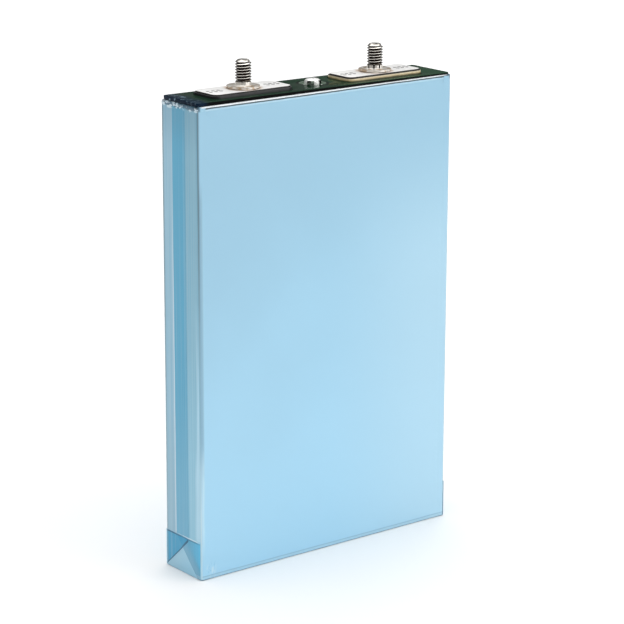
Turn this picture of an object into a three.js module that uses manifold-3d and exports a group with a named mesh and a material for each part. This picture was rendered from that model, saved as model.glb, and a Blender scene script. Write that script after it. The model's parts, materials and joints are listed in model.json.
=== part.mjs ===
// Prismatic lithium cell: a film-wrapped aluminium can with two M6 terminal studs and a centre vent.
// Millimetres, +Z up. The origin is on the floor under the middle of the can. The wide faces look
// along Y, the narrow sides along X. The positive terminal is at -X, the negative terminal at +X.
import * as THREE from 'three';
import { mergeVertices } from 'three/addons/utils/BufferGeometryUtils.js';
import Module from 'manifold-3d';

const wasm = await Module();
wasm.setup();

// Driving dimensions of the wrapped cell.
const cellWidth = 117;
const cellThickness = 22.5;
const cellEdgeRadius = 1.2;
const filmTop = 175.1;
const filmWall = 0.2;
const filmLip = 1.4;
const layerGap = 0.1;

// Can and lid.
const canWall = 0.8;
const canFloor = 1.2;
const canWidth = cellWidth - 2 * (filmWall + layerGap);
const canThickness = cellThickness - 2 * (filmWall + layerGap);
const canEdgeRadius = 1;
const canBottom = filmWall + layerGap;
const lidTop = filmTop - filmWall - layerGap;
const lidHeight = 2;
const lidBottom = lidTop - lidHeight;
const lidClearance = 0.05;
const cavityWidth = canWidth - 2 * canWall;
const cavityThickness = canThickness - 2 * canWall;

// Cover sheet, with a rebate under its rim for the film's lip.
const coverTop = 176;
const coverRimBottom = filmTop + layerGap;
const coverMargin = 0.6;
const coverRadius = 1.1;
const coverRebateClearance = 0.3;

// Terminals, one each side of the middle.
const terminalOffset = 30.25;
const plateLength = 34.2;
const plateDepth = 13.5;
const plateRadius = 2.3;
const plateTop = 177.75;
const plateHeight = 1.2;
const plateBottom = plateTop - plateHeight;
const insulatorOverhang = 0.65;
const insulatorRimTop = plateTop - 0.5;
const coverCutoutClearance = 0.3;

// Stud: a welded flange, a collar with a flared foot and an M6 x 1 thread.
const studTop = 188;
const studFlangeRadius = 6.1;
const studFlangeHeight = 0.9;
const studCollarRadius = 2.95;
const studCollarHeight = 1.5;
const studFlareRadius = 3.9;
const studFlareHeight = 0.5;
const studBevel = 0.15;
const threadMajorRadius = 3;
const threadMinorRadius = 2.387;
const threadPitch = 1;
const threadTipHeight = 0.5;
const threadTipRadius = 2.1;
const threadRunout = 0.5;

// Pole through the lid, with its seal, the lower insulator and the collector below.
const poleRadius = 3.6;
const poleFlangeRadius = 6.7;
const poleFlangeHeight = 1.5;
const lowerInsulatorHeight = 1.6;
const lowerInsulatorLength = 51;
const lowerInsulatorDepth = 18.8;
const lowerInsulatorTop = lidBottom - layerGap;
const lowerInsulatorBottom = lowerInsulatorTop - lowerInsulatorHeight;
const footLength = 2;
const footDepth = 17;
const footClearance = 1.2;
const innerPieceRadius = 1;
const sealFlangeRadius = 5.6;
const sealCollarRadius = 4.8;
const sealTop = 176.3;
const poleFlangeTop = lowerInsulatorBottom - layerGap;
const poleFlangeBottom = poleFlangeTop - poleFlangeHeight;
const collectorHeight = 1.1;
const collectorTop = poleFlangeBottom - layerGap;
const collectorBottom = collectorTop - collectorHeight;
const collectorLength = 39.5;
const collectorDepth = 16;

// Vent and filling port in the lid.
const ventX = 1.1;
const ventHoleRadius = 3.4;
const ventSeatRadius = 4.3;
const ventSeatDepth = 0.35;
const ventOpeningRadius = 4.7;
const ventFlangeRadius = 4.1;
const ventDomeRadius = 3.15;
const ventDomeTop = 177.9;
const ventCapWall = 0.35;
const ventCrownReach = 2.2;
const ventCrownRise = 1.3;
const ventCrownSteps = 5;
const ventWindowWidth = 2.6;
const ventWindowBottom = 175.45;
const ventWindowTop = 177.3;
const ventWindowTurn = THREE.MathUtils.degToRad(37);
const discHeight = 0.25;
const discScoreRadius = 2.7;
const discScoreWidth = 0.4;
const discScoreDepth = 0.1;
const fillPortX = 8.6;
const fillPortRadius = 1.2;
const fillSeatRadius = 2.7;
const fillSeatDepth = 0.6;

// Electrode rolls and what holds them.
const rollTop = 163;
const rollLength = 112.4;
const rollMandrelLength = 97;
const rollMandrelSlot = 0.8;
const rollMidGap = 0.3;
const bagWall = 0.15;
const bagTop = 165.7;
const bagRadius = 0.25;
const tapeHeight = 0.1;
const tapeWidth = 22;
const tapeMargin = 8;
const thinGap = 0.05;
const padWidth = 110;
const padDepth = 18.8;
const padHeight = 0.8;
const padHoleRadius = 2;
const padHolePitch = 18;
const padHoleCount = 5;
const padHoleSteps = 16;
const tabWidth = 27;
const tabThickness = 0.6;
const tabInnerEnd = 1.2;
const tabBendRadius = 1;

// Steps round a full turn, for seen and for hidden round pieces.
const seenSteps = 48;
const hiddenSteps = 32;
const threadSteps = 24;
const rollEndSteps = 6;
const cornerSteps = 3;
const mergeTolerance = 1e-4;
// How far a cutting shape reaches past the face that it cuts.
const cutReach = 1;

const finishes = {
  film: { color: 0xa6d2ea, roughness: 0.28, metalness: 0 },
  cover: { color: 0x232b22, roughness: 0.25, metalness: 0 },
  aluminium: { color: 0xd9dadb, roughness: 0.35, metalness: 1 },
  plate: { color: 0xeceae4, roughness: 0.3, metalness: 1 },
  steel: { color: 0xb9ad9c, roughness: 0.25, metalness: 1 },
  copper: { color: 0xb87352, roughness: 0.35, metalness: 1 },
  darkPlastic: { color: 0x17181a, roughness: 0.5, metalness: 0 },
  amberPlastic: { color: 0xd8b070, roughness: 0.45, metalness: 0 },
  whitePlastic: { color: 0xe6e6e0, roughness: 0.5, metalness: 0 },
  rubber: { color: 0x1d1d1f, roughness: 0.8, metalness: 0 },
  roll: { color: 0xdcdcd6, roughness: 0.6, metalness: 0 },
  tape: { color: 0x3f7d5a, roughness: 0.4, metalness: 0 },
};

const cell = new THREE.Group();

function addPiece(parent, name, geometry, finish) {
  const mesh = new THREE.Mesh(geometry, new THREE.MeshStandardMaterial(finishes[finish]));
  mesh.name = name;
  parent.add(mesh);
  return mesh;
}

// A rectangle with round corners, centred on the origin.
function roundedRectangle(width, depth, radius) {
  const x = width / 2 - radius;
  const y = depth / 2 - radius;
  const quarter = Math.PI / 2;
  const outline = new THREE.Shape();
  outline.moveTo(x + radius, -y);
  outline.lineTo(x + radius, y);
  outline.absarc(x, y, radius, 0, quarter);
  outline.absarc(-x, y, radius, quarter, 2 * quarter);
  outline.absarc(-x, -y, radius, 2 * quarter, 3 * quarter);
  outline.absarc(x, -y, radius, 3 * quarter, 4 * quarter);
  return outline;
}

function circle(x, radius) {
  const outline = new THREE.Shape();
  outline.absarc(x, 0, radius, 0, 2 * Math.PI);
  return outline;
}

// An outline raised from one height to another. A quarter turn takes twice the curve segments.
function slab(outline, bottom, top, curveSegments = cornerSteps) {
  const geometry = new THREE.ExtrudeGeometry(outline, {
    depth: top - bottom,
    bevelEnabled: false,
    curveSegments,
  });
  return geometry.translate(0, 0, bottom);
}

function roundedSlab(width, depth, radius, bottom, top, curveSegments = cornerSteps) {
  return slab(roundedRectangle(width, depth, radius), bottom, top, curveSegments);
}

function cylinder(x, radius, bottom, top, steps = seenSteps) {
  return slab(circle(x, radius), bottom, top, steps / 2);
}

// A turned shape about the Z axis. The profile is a list of [radius, height] points.
function turned(profile, steps = seenSteps) {
  const points = profile.map(([radius, height]) => new THREE.Vector2(radius, height));
  return new THREE.LatheGeometry(points, steps).rotateX(Math.PI / 2);
}

// A closed mesh as a solid for joining and cutting: shared corners merged, flat triangles dropped.
function solidOf(geometry) {
  geometry.deleteAttribute('normal');
  geometry.deleteAttribute('uv');
  const merged = mergeVertices(geometry, mergeTolerance);
  const corners = merged.index.array;
  const triangles = [];
  for (let i = 0; i < corners.length; i += 3) {
    const [a, b, c] = corners.slice(i, i + 3);
    if (a !== b && b !== c && c !== a) {
      triangles.push(a, b, c);
    }
  }
  const vertProperties = merged.attributes.position.array;
  const triVerts = new Uint32Array(triangles);
  return new wasm.Manifold(new wasm.Mesh({ numProp: 3, vertProperties, triVerts }));
}

function geometryOf(solid) {
  const { vertProperties, triVerts } = solid.getMesh();
  const geometry = new THREE.BufferGeometry();
  geometry.setAttribute('position', new THREE.BufferAttribute(vertProperties, 3));
  geometry.setIndex(new THREE.BufferAttribute(triVerts, 1));
  geometry.computeVertexNormals();
  return geometry;
}

// One body with some shapes joined on and others cut away.
function shaped(body, { joined = [], removed = [] }) {
  let solid = solidOf(body);
  for (const geometry of joined) {
    solid = solid.add(solidOf(geometry));
  }
  for (const geometry of removed) {
    solid = solid.subtract(solidOf(geometry));
  }
  return geometryOf(solid);
}

// Film: a box open at the top, with a narrow lip folded in over the can's rim.
function insulatingFilm() {
  const innerWidth = cellWidth - 2 * filmWall;
  const innerThickness = cellThickness - 2 * filmWall;
  const innerRadius = cellEdgeRadius - filmWall;
  const mouthWidth = innerWidth - 2 * filmLip;
  const mouthThickness = innerThickness - 2 * filmLip;
  const outside = roundedSlab(cellWidth, cellThickness, cellEdgeRadius, 0, filmTop);
  const inside = roundedSlab(innerWidth, innerThickness, innerRadius, filmWall, filmTop - filmWall);
  const mouth = roundedSlab(mouthWidth, mouthThickness, innerRadius, filmTop - cutReach, filmTop + cutReach);
  return shaped(outside, { removed: [inside, mouth] });
}

function can() {
  const innerRadius = canEdgeRadius - canWall;
  const floorTop = canBottom + canFloor;
  const outside = roundedSlab(canWidth, canThickness, canEdgeRadius, canBottom, lidTop);
  const inside = roundedSlab(cavityWidth, cavityThickness, innerRadius, floorTop, lidTop + cutReach);
  return shaped(outside, { removed: [inside] });
}

function lidPlate() {
  const width = cavityWidth - 2 * lidClearance;
  const depth = cavityThickness - 2 * lidClearance;
  const plate = roundedSlab(width, depth, canEdgeRadius - canWall, lidBottom, lidTop);
  const below = lidBottom - cutReach;
  const above = lidTop + cutReach;
  const holeRadius = sealCollarRadius + layerGap;
  const removed = [
    cylinder(-terminalOffset, holeRadius, below, above, hiddenSteps),
    cylinder(terminalOffset, holeRadius, below, above, hiddenSteps),
    cylinder(ventX, ventHoleRadius, below, above, hiddenSteps),
    cylinder(ventX, ventSeatRadius, lidTop - ventSeatDepth, above, hiddenSteps),
    cylinder(fillPortX, fillPortRadius, below, above, hiddenSteps),
    cylinder(fillPortX, fillSeatRadius, lidTop - fillSeatDepth, above, hiddenSteps),
  ];
  return shaped(plate, { removed });
}

function coverSheet() {
  const rimWidth = cellWidth - 2 * (coverMargin + layerGap);
  const rimDepth = cellThickness - 2 * coverMargin;
  const bodyInset = 2 * (filmWall + filmLip + coverRebateClearance);
  const bodyWidth = cellWidth - bodyInset;
  const bodyDepth = cellThickness - bodyInset;
  const rim = roundedSlab(rimWidth, rimDepth, coverRadius, coverRimBottom, coverTop);
  const body = roundedSlab(bodyWidth, bodyDepth, coverRadius, lidTop + layerGap, coverTop);
  const growth = 2 * (insulatorOverhang + coverCutoutClearance);
  const cutoutRadius = plateRadius + growth / 2;
  const above = coverTop + cutReach;
  const removed = [cylinder(ventX, ventOpeningRadius, lidTop, above)];
  for (const side of [-1, 1]) {
    const cutout = roundedSlab(plateLength + growth, plateDepth + growth, cutoutRadius, lidTop, above);
    removed.push(cutout.translate(side * terminalOffset, 0, 0));
  }
  return shaped(rim, { joined: [body], removed });
}

// Upper insulator: a tray that holds the lower part of the plate.
function terminalInsulator() {
  const length = plateLength + 2 * insulatorOverhang;
  const depth = plateDepth + 2 * insulatorOverhang;
  const bottom = lidTop + thinGap;
  const trayFloor = plateBottom - thinGap;
  const above = insulatorRimTop + cutReach;
  const pocketLength = plateLength + 2 * layerGap;
  const pocketDepth = plateDepth + 2 * layerGap;
  const block = roundedSlab(length, depth, plateRadius + insulatorOverhang, bottom, insulatorRimTop);
  const pocket = roundedSlab(pocketLength, pocketDepth, plateRadius + layerGap, trayFloor, above);
  const hole = cylinder(0, sealCollarRadius + layerGap, bottom - cutReach, above, hiddenSteps);
  return shaped(block, { removed: [pocket, hole] });
}

function terminalPlate() {
  const plate = roundedSlab(plateLength, plateDepth, plateRadius, plateBottom, plateTop);
  const holeRadius = poleRadius + 2 * layerGap;
  const hole = cylinder(0, holeRadius, plateBottom - cutReach, plateTop + cutReach, hiddenSteps);
  return shaped(plate, { removed: [hole] });
}

// Thread profile over one pitch: [share of the pitch, radius] for root, flank, crest and flank.
const threadProfile = [
  [0, threadMinorRadius],
  [0.25, threadMinorRadius],
  [0.5625, threadMajorRadius],
  [0.6875, threadMajorRadius],
];

// Stud: a turned blank whose thread rows are then slid along the helix, one pitch a turn.
function stud() {
  const flangeTop = plateTop + studFlangeHeight;
  const collarTop = flangeTop + studCollarHeight;
  const threadStart = collarTop;
  const threadEnd = studTop - threadTipHeight;
  const base = [
    [0, plateTop],
    [studFlangeRadius - studBevel, plateTop],
    [studFlangeRadius, plateTop + studBevel],
    [studFlangeRadius, flangeTop - studBevel],
    [studFlangeRadius - studBevel, flangeTop],
    [studFlareRadius, flangeTop],
    [studCollarRadius, flangeTop + studFlareHeight],
    [studCollarRadius, collarTop - studBevel],
    [studCollarRadius - studBevel, collarTop],
  ];
  const turns = Math.ceil((threadEnd - threadStart) / threadPitch);
  const rows = [];
  for (let turn = -1; turn < turns; turn += 1) {
    for (const [share, radius] of threadProfile) {
      rows.push([radius, threadStart + (turn + share) * threadPitch]);
    }
  }
  rows.push([threadMinorRadius, threadStart + turns * threadPitch]);
  const tip = [
    [threadTipRadius, studTop],
    [0, studTop],
  ];
  const blank = turned([...base, ...rows, ...tip], threadSteps);
  const position = blank.attributes.position;
  const rowCount = base.length + rows.length + tip.length;
  for (let step = 0; step <= threadSteps; step += 1) {
    const angle = (2 * Math.PI * step) / threadSteps;
    rows.forEach(([radius, rowHeight], row) => {
      const raised = rowHeight + (threadPitch * step) / threadSteps;
      const height = Math.min(Math.max(raised, threadStart), threadEnd);
      const fromEnd = Math.min(height - threadStart, threadEnd - height);
      const depthShare = Math.min(fromEnd / threadRunout, 1);
      const reach = threadMinorRadius + (radius - threadMinorRadius) * depthShare;
      const vertex = step * rowCount + base.length + row;
      position.setXYZ(vertex, reach * Math.sin(angle), -reach * Math.cos(angle), height);
    });
  }
  return blank;
}

function pole() {
  return turned([
    [0, poleFlangeBottom],
    [poleFlangeRadius, poleFlangeBottom],
    [poleFlangeRadius, poleFlangeTop],
    [poleRadius, poleFlangeTop],
    [poleRadius, plateTop - thinGap],
    [0, plateTop - thinGap],
  ], hiddenSteps);
}

function poleSeal() {
  const bore = poleRadius + thinGap;
  return turned([
    [bore, lowerInsulatorBottom],
    [sealFlangeRadius, lowerInsulatorBottom],
    [sealFlangeRadius, lowerInsulatorTop],
    [sealCollarRadius, lowerInsulatorTop],
    [sealCollarRadius, sealTop],
    [bore, sealTop],
    [bore, lowerInsulatorBottom],
  ], hiddenSteps);
}

// Lower insulator: a plate under the lid, with a foot at each end that holds the rolls down.
function lowerInsulator() {
  const plate = roundedSlab(
    lowerInsulatorLength,
    lowerInsulatorDepth,
    innerPieceRadius,
    lowerInsulatorBottom,
    lowerInsulatorTop,
  );
  const footBottom = rollTop + footClearance;
  const footHeight = (lowerInsulatorBottom + lowerInsulatorTop) / 2 - footBottom;
  const joined = [-1, 1].map((side) => {
    const foot = new THREE.BoxGeometry(footLength, footDepth, footHeight);
    return foot.translate(side * (lowerInsulatorLength - footLength) / 2, 0, footBottom + footHeight / 2);
  });
  const holeRadius = sealFlangeRadius + layerGap;
  const hole = cylinder(0, holeRadius, lowerInsulatorBottom - cutReach, lidBottom + cutReach, hiddenSteps);
  return shaped(plate, { joined, removed: [hole] });
}

function collector() {
  return roundedSlab(collectorLength, collectorDepth, innerPieceRadius, collectorBottom, collectorTop);
}

// Vent cap: a turned cup with a flange and a domed top, and four windows in its wall.
function ventCap() {
  const flangeBottom = lidTop - ventSeatDepth + discHeight + 2 * layerGap;
  const flangeTop = flangeBottom + ventCapWall;
  const crown = (inset) => Array.from({ length: ventCrownSteps + 1 }, (_, step) => {
    const angle = (step / ventCrownSteps) * (Math.PI / 2);
    return [
      ventDomeRadius - ventCrownReach + (ventCrownReach - inset) * Math.cos(angle),
      ventDomeTop - ventCrownRise + (ventCrownRise - inset) * Math.sin(angle),
    ];
  });
  const cup = turned([
    [0, ventDomeTop - ventCapWall],
    ...crown(ventCapWall).reverse(),
    [ventDomeRadius - ventCapWall, flangeBottom],
    [ventFlangeRadius, flangeBottom],
    [ventFlangeRadius, flangeTop],
    [ventDomeRadius, flangeTop],
    ...crown(0),
    [0, ventDomeTop],
  ]);
  const windowHeight = ventWindowTop - ventWindowBottom;
  const removed = [0, 1].map((quarterTurns) => {
    const pair = new THREE.BoxGeometry(2 * ventOpeningRadius, ventWindowWidth, windowHeight);
    pair.rotateZ(ventWindowTurn + (quarterTurns * Math.PI) / 2);
    return pair.translate(0, 0, (ventWindowTop + ventWindowBottom) / 2);
  });
  return shaped(cup, { removed });
}

// Burst disc: thin, with a scored ring where it tears.
function burstDisc() {
  const bottom = lidTop - ventSeatDepth + thinGap;
  const top = bottom + discHeight;
  const halfScore = discScoreWidth / 2;
  return turned([
    [0, bottom],
    [ventFlangeRadius, bottom],
    [ventFlangeRadius, top],
    [discScoreRadius + halfScore, top],
    [discScoreRadius, top - discScoreDepth],
    [discScoreRadius - halfScore, top],
    [0, top],
  ], hiddenSteps);
}

function fillPortPlug() {
  const radius = fillPortRadius - layerGap;
  return cylinder(fillPortX, radius, lidBottom + layerGap, lidTop - fillSeatDepth, hiddenSteps);
}

function fillPortCap() {
  const radius = fillSeatRadius - 2 * layerGap;
  return cylinder(fillPortX, radius, lidTop - fillSeatDepth + layerGap, lidTop, hiddenSteps);
}

// Everything in the can is stacked up from its floor.
const bagFloor = canBottom + canFloor + layerGap;
const padBottom = bagFloor + bagWall + layerGap;
const rollBottom = padBottom + padHeight + layerGap;
const bagHalfThickness = cavityThickness / 2 - thinGap;
const tapeOuter = bagHalfThickness - bagWall - thinGap;
const rollOuter = tapeOuter - tapeHeight - thinGap;
const rollThickness = rollOuter - rollMidGap / 2;
const rollCentre = (rollOuter + rollMidGap / 2) / 2;

function insulatingBag() {
  const width = cavityWidth - 2 * thinGap;
  const thickness = 2 * bagHalfThickness;
  const innerWidth = width - 2 * bagWall;
  const innerThickness = thickness - 2 * bagWall;
  const innerRadius = bagRadius - bagWall;
  const floorTop = bagFloor + bagWall;
  const outside = roundedSlab(width, thickness, bagRadius, bagFloor, bagTop);
  const inside = roundedSlab(innerWidth, innerThickness, innerRadius, floorTop, bagTop + cutReach);
  return shaped(outside, { removed: [inside] });
}

function bottomPad() {
  const padTop = padBottom + padHeight;
  const pad = roundedSlab(padWidth, padDepth, innerPieceRadius, padBottom, padTop);
  const removed = [];
  for (let hole = 0; hole < padHoleCount; hole += 1) {
    const x = (hole - (padHoleCount - 1) / 2) * padHolePitch;
    removed.push(cylinder(x, padHoleRadius, padBottom - cutReach, padTop + cutReach, padHoleSteps));
  }
  return shaped(pad, { removed });
}

// A flat-wound roll: round ends, and the narrow slot that its mandrel leaves.
function jellyRoll() {
  const endRadius = rollThickness / 2 - thinGap;
  const roll = roundedSlab(rollLength, rollThickness, endRadius, rollBottom, rollTop, rollEndSteps);
  const slotEndRadius = rollMandrelSlot / 2 - thinGap;
  const slotBottom = rollBottom - cutReach;
  const slotTop = rollTop + cutReach;
  const slot = roundedSlab(rollMandrelLength, rollMandrelSlot, slotEndRadius, slotBottom, slotTop);
  return shaped(roll, { removed: [slot] });
}

function rollTape() {
  const height = rollTop - rollBottom - 2 * tapeMargin;
  const tape = new THREE.BoxGeometry(tapeWidth, tapeHeight, height);
  return tape.translate(0, 0, (rollTop + rollBottom) / 2);
}

// A foil tab: up from the roll, then bent in flat under the collector. The outline is in Y and Z.
function foilTab(side) {
  const top = collectorBottom - layerGap;
  const bottom = rollTop + layerGap;
  const outer = rollCentre + tabThickness / 2;
  const inner = outer - tabThickness;
  const innerBend = tabBendRadius - tabThickness;
  const quarter = Math.PI / 2;
  const outline = new THREE.Shape();
  outline.moveTo(inner, bottom);
  outline.lineTo(outer, bottom);
  outline.lineTo(outer, top - tabBendRadius);
  outline.absarc(outer - tabBendRadius, top - tabBendRadius, tabBendRadius, 0, quarter);
  outline.lineTo(tabInnerEnd, top);
  outline.lineTo(tabInnerEnd, top - tabThickness);
  outline.lineTo(outer - tabBendRadius, top - tabThickness);
  outline.absarc(outer - tabBendRadius, top - tabBendRadius, innerBend, quarter, 0, true);
  outline.lineTo(inner, bottom);
  const tab = slab(outline, -tabWidth / 2, tabWidth / 2);
  const alongX = new THREE.Vector3(1, 0, 0);
  const alongY = new THREE.Vector3(0, 1, 0);
  const alongZ = new THREE.Vector3(0, 0, 1);
  tab.applyMatrix4(new THREE.Matrix4().makeBasis(alongY, alongZ, alongX));
  return side < 0 ? tab.rotateZ(Math.PI) : tab;
}

addPiece(cell, 'insulating_film', insulatingFilm(), 'film');
addPiece(cell, 'can', can(), 'aluminium');
addPiece(cell, 'lid_plate', lidPlate(), 'aluminium');
addPiece(cell, 'top_cover_sheet', coverSheet(), 'cover');
addPiece(cell, 'vent_cap', ventCap(), 'plate').position.x = ventX;
addPiece(cell, 'vent_burst_disc', burstDisc(), 'aluminium').position.x = ventX;
addPiece(cell, 'fill_port_plug', fillPortPlug(), 'rubber');
addPiece(cell, 'fill_port_cap', fillPortCap(), 'aluminium');
addPiece(cell, 'insulating_bag', insulatingBag(), 'whitePlastic');
addPiece(cell, 'bottom_pad', bottomPad(), 'whitePlastic');

const rolls = [
  { name: 'front', side: -1 },
  { name: 'rear', side: 1 },
];
const terminals = [
  { name: 'positive', side: -1, block: 'darkPlastic', metal: 'aluminium' },
  { name: 'negative', side: 1, block: 'amberPlastic', metal: 'copper' },
];

for (const roll of rolls) {
  addPiece(cell, `${roll.name}_jelly_roll`, jellyRoll(), 'roll').position.y = roll.side * rollCentre;
  const tape = addPiece(cell, `${roll.name}_roll_tape`, rollTape(), 'tape');
  tape.position.y = roll.side * (tapeOuter - tapeHeight / 2);
}

for (const terminal of terminals) {
  const group = new THREE.Group();
  group.position.x = terminal.side * terminalOffset;
  cell.add(group);
  addPiece(group, `${terminal.name}_terminal_insulator`, terminalInsulator(), terminal.block);
  addPiece(group, `${terminal.name}_terminal_plate`, terminalPlate(), 'plate');
  addPiece(group, `${terminal.name}_stud`, stud(), 'steel');
  addPiece(group, `${terminal.name}_pole`, pole(), terminal.metal);
  addPiece(group, `${terminal.name}_pole_seal`, poleSeal(), 'rubber');
  addPiece(group, `${terminal.name}_lower_insulator`, lowerInsulator(), 'whitePlastic');
  addPiece(group, `${terminal.name}_collector`, collector(), terminal.metal);
  for (const roll of rolls) {
    addPiece(group, `${roll.name}_${terminal.name}_tab`, foilTab(roll.side), terminal.metal);
  }
}

export default cell;
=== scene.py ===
"""A film-wrapped prismatic lithium cell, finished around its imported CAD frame.

Everything is in metres in the CAD's own frame: +Z up, the wide faces look along Y, the narrow sides
along X, and the floor is at z = 0. Sizes of the finish are written in millimetres times MM.
"""

import json
import math

import bmesh
import bpy
from mathutils import Matrix, Vector, noise


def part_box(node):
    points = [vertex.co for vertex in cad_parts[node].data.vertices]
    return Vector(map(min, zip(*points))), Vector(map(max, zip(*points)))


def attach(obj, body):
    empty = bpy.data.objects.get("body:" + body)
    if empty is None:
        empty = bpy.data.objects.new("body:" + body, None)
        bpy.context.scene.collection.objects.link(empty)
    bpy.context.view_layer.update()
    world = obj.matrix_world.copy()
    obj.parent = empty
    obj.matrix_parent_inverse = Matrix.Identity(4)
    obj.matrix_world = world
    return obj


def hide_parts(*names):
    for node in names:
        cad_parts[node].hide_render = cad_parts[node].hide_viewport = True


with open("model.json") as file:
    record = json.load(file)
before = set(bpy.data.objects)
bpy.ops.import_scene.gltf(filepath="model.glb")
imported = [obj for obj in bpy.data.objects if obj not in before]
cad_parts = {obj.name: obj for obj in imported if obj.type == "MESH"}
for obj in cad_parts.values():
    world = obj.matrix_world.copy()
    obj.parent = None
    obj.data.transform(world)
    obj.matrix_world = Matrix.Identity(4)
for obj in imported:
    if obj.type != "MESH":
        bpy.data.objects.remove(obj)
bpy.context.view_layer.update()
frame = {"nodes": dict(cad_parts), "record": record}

MM = 0.001
BODY = "root"

film_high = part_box("insulating_film")[1]
can_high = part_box("can")[1]
cover_low, cover_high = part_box("top_cover_sheet")
stud_low, stud_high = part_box("positive_stud")
plate_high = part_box("positive_terminal_plate")[1]
vent_low, vent_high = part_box("vent_cap")

# ---------------------------------------------------------------- camera, light and floor

VIEW_AZIMUTH = math.radians(-37.96)
VIEW_ELEVATION = math.radians(15.2)
VIEW_ROLL = math.radians(0.19)
VIEW_DISTANCE = 0.9174
VIEW_AIM_RIGHT = 0.95 * MM
VIEW_AIM_UP = 2.28 * MM
LENS_MM = 141.84
SENSOR_MM = 36.0
CELL_MIDDLE = Vector((0.0, 0.0, film_high.z / 2))


def add_to_scene(name, data, place=None, turn=None):
    """An object for the data, linked to the scene, and placed and turned where that is given."""
    item = bpy.data.objects.new(name, data)
    bpy.context.scene.collection.objects.link(item)
    if place is not None:
        item.location = place
        item.rotation_mode = "QUATERNION"
        item.rotation_quaternion = turn
    return item


def direction(azimuth, elevation):
    """The unit vector towards an azimuth, counted from the front, and an elevation."""
    level = math.cos(elevation)
    return Vector((math.sin(azimuth) * level, -math.cos(azimuth) * level, math.sin(elevation)))


def view_axes():
    """The camera's right, up and back directions."""
    back = direction(VIEW_AZIMUTH, VIEW_ELEVATION)
    level = Vector((math.cos(VIEW_AZIMUTH), math.sin(VIEW_AZIMUTH), 0.0))
    upright = back.cross(level)
    right = level * math.cos(VIEW_ROLL) + upright * math.sin(VIEW_ROLL)
    return right, back.cross(right), back


def make_camera():
    right, up, back = view_axes()
    aim = CELL_MIDDLE + right * VIEW_AIM_RIGHT + up * VIEW_AIM_UP
    data = bpy.data.cameras.new("camera")
    data.lens = LENS_MM
    data.sensor_width = SENSOR_MM
    turn = Matrix((right, up, back)).transposed().to_quaternion()
    bpy.context.scene.camera = add_to_scene("camera", data, aim + back * VIEW_DISTANCE, turn)


def area_light(name, azimuth, elevation, distance, size, power, aim=(0.0, 0.0, 0.0)):
    """A soft light seen from the cell in a direction given in degrees, turned to face a point."""
    place = CELL_MIDDLE + direction(math.radians(azimuth), math.radians(elevation)) * distance
    data = bpy.data.lights.new(name, "AREA")
    data.shape = "RECTANGLE"
    data.size, data.size_y = size
    data.energy = power
    add_to_scene(name, data, place, (place - Vector(aim)).to_track_quat("Z", "Y"))


# The surround: direction's height, and brightness there.
SKY = [(0.0, 0.10), (0.60, 0.14), (0.80, 1.85), (1.0, 2.0)]


def make_world():
    """A pale surround that is brightest overhead."""
    world = bpy.data.worlds.new("studio")
    world.use_nodes = True
    nodes, links = world.node_tree.nodes, world.node_tree.links
    place = nodes.new("ShaderNodeTexCoord")
    split = nodes.new("ShaderNodeSeparateXYZ")
    ramp = nodes.new("ShaderNodeValToRGB")
    stops = ramp.color_ramp.elements
    while len(stops) < len(SKY):
        stops.new(0.5)
    brightest = max(level for height, level in SKY)
    for stop, (height, level) in zip(stops, SKY):
        stop.position = height
        stop.color = (*[level / brightest] * 3, 1.0)
    links.new(place.outputs["Generated"], split.inputs[0])
    links.new(split.outputs["Z"], ramp.inputs["Fac"])
    links.new(ramp.outputs["Color"], nodes["Background"].inputs["Color"])
    nodes["Background"].inputs["Strength"].default_value = brightest
    bpy.context.scene.world = world


FLOOR_HALF = 4.0
PAPER_DULL = (0.965, 0.965, 0.965)
PAPER_BRIGHT = (0.98, 0.98, 0.98)


def make_floor():
    """A plain sheet of pale paper."""
    paper = Finish("floor_paper", PAPER_BRIGHT, 0.85)
    paper.colour(paper.blend(paper.noise(3.0, 2.0), PAPER_DULL, PAPER_BRIGHT))
    mesh = bpy.data.meshes.new("floor")
    half = FLOOR_HALF
    corners = [(-half, -half, 0.0), (half, -half, 0.0), (half, half, 0.0), (-half, half, 0.0)]
    mesh.from_pydata(corners, [], [(0, 1, 2, 3)])
    mesh.materials.append(paper.material)
    floor = add_to_scene("floor", mesh)


# ---------------------------------------------------------------- materials


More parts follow.
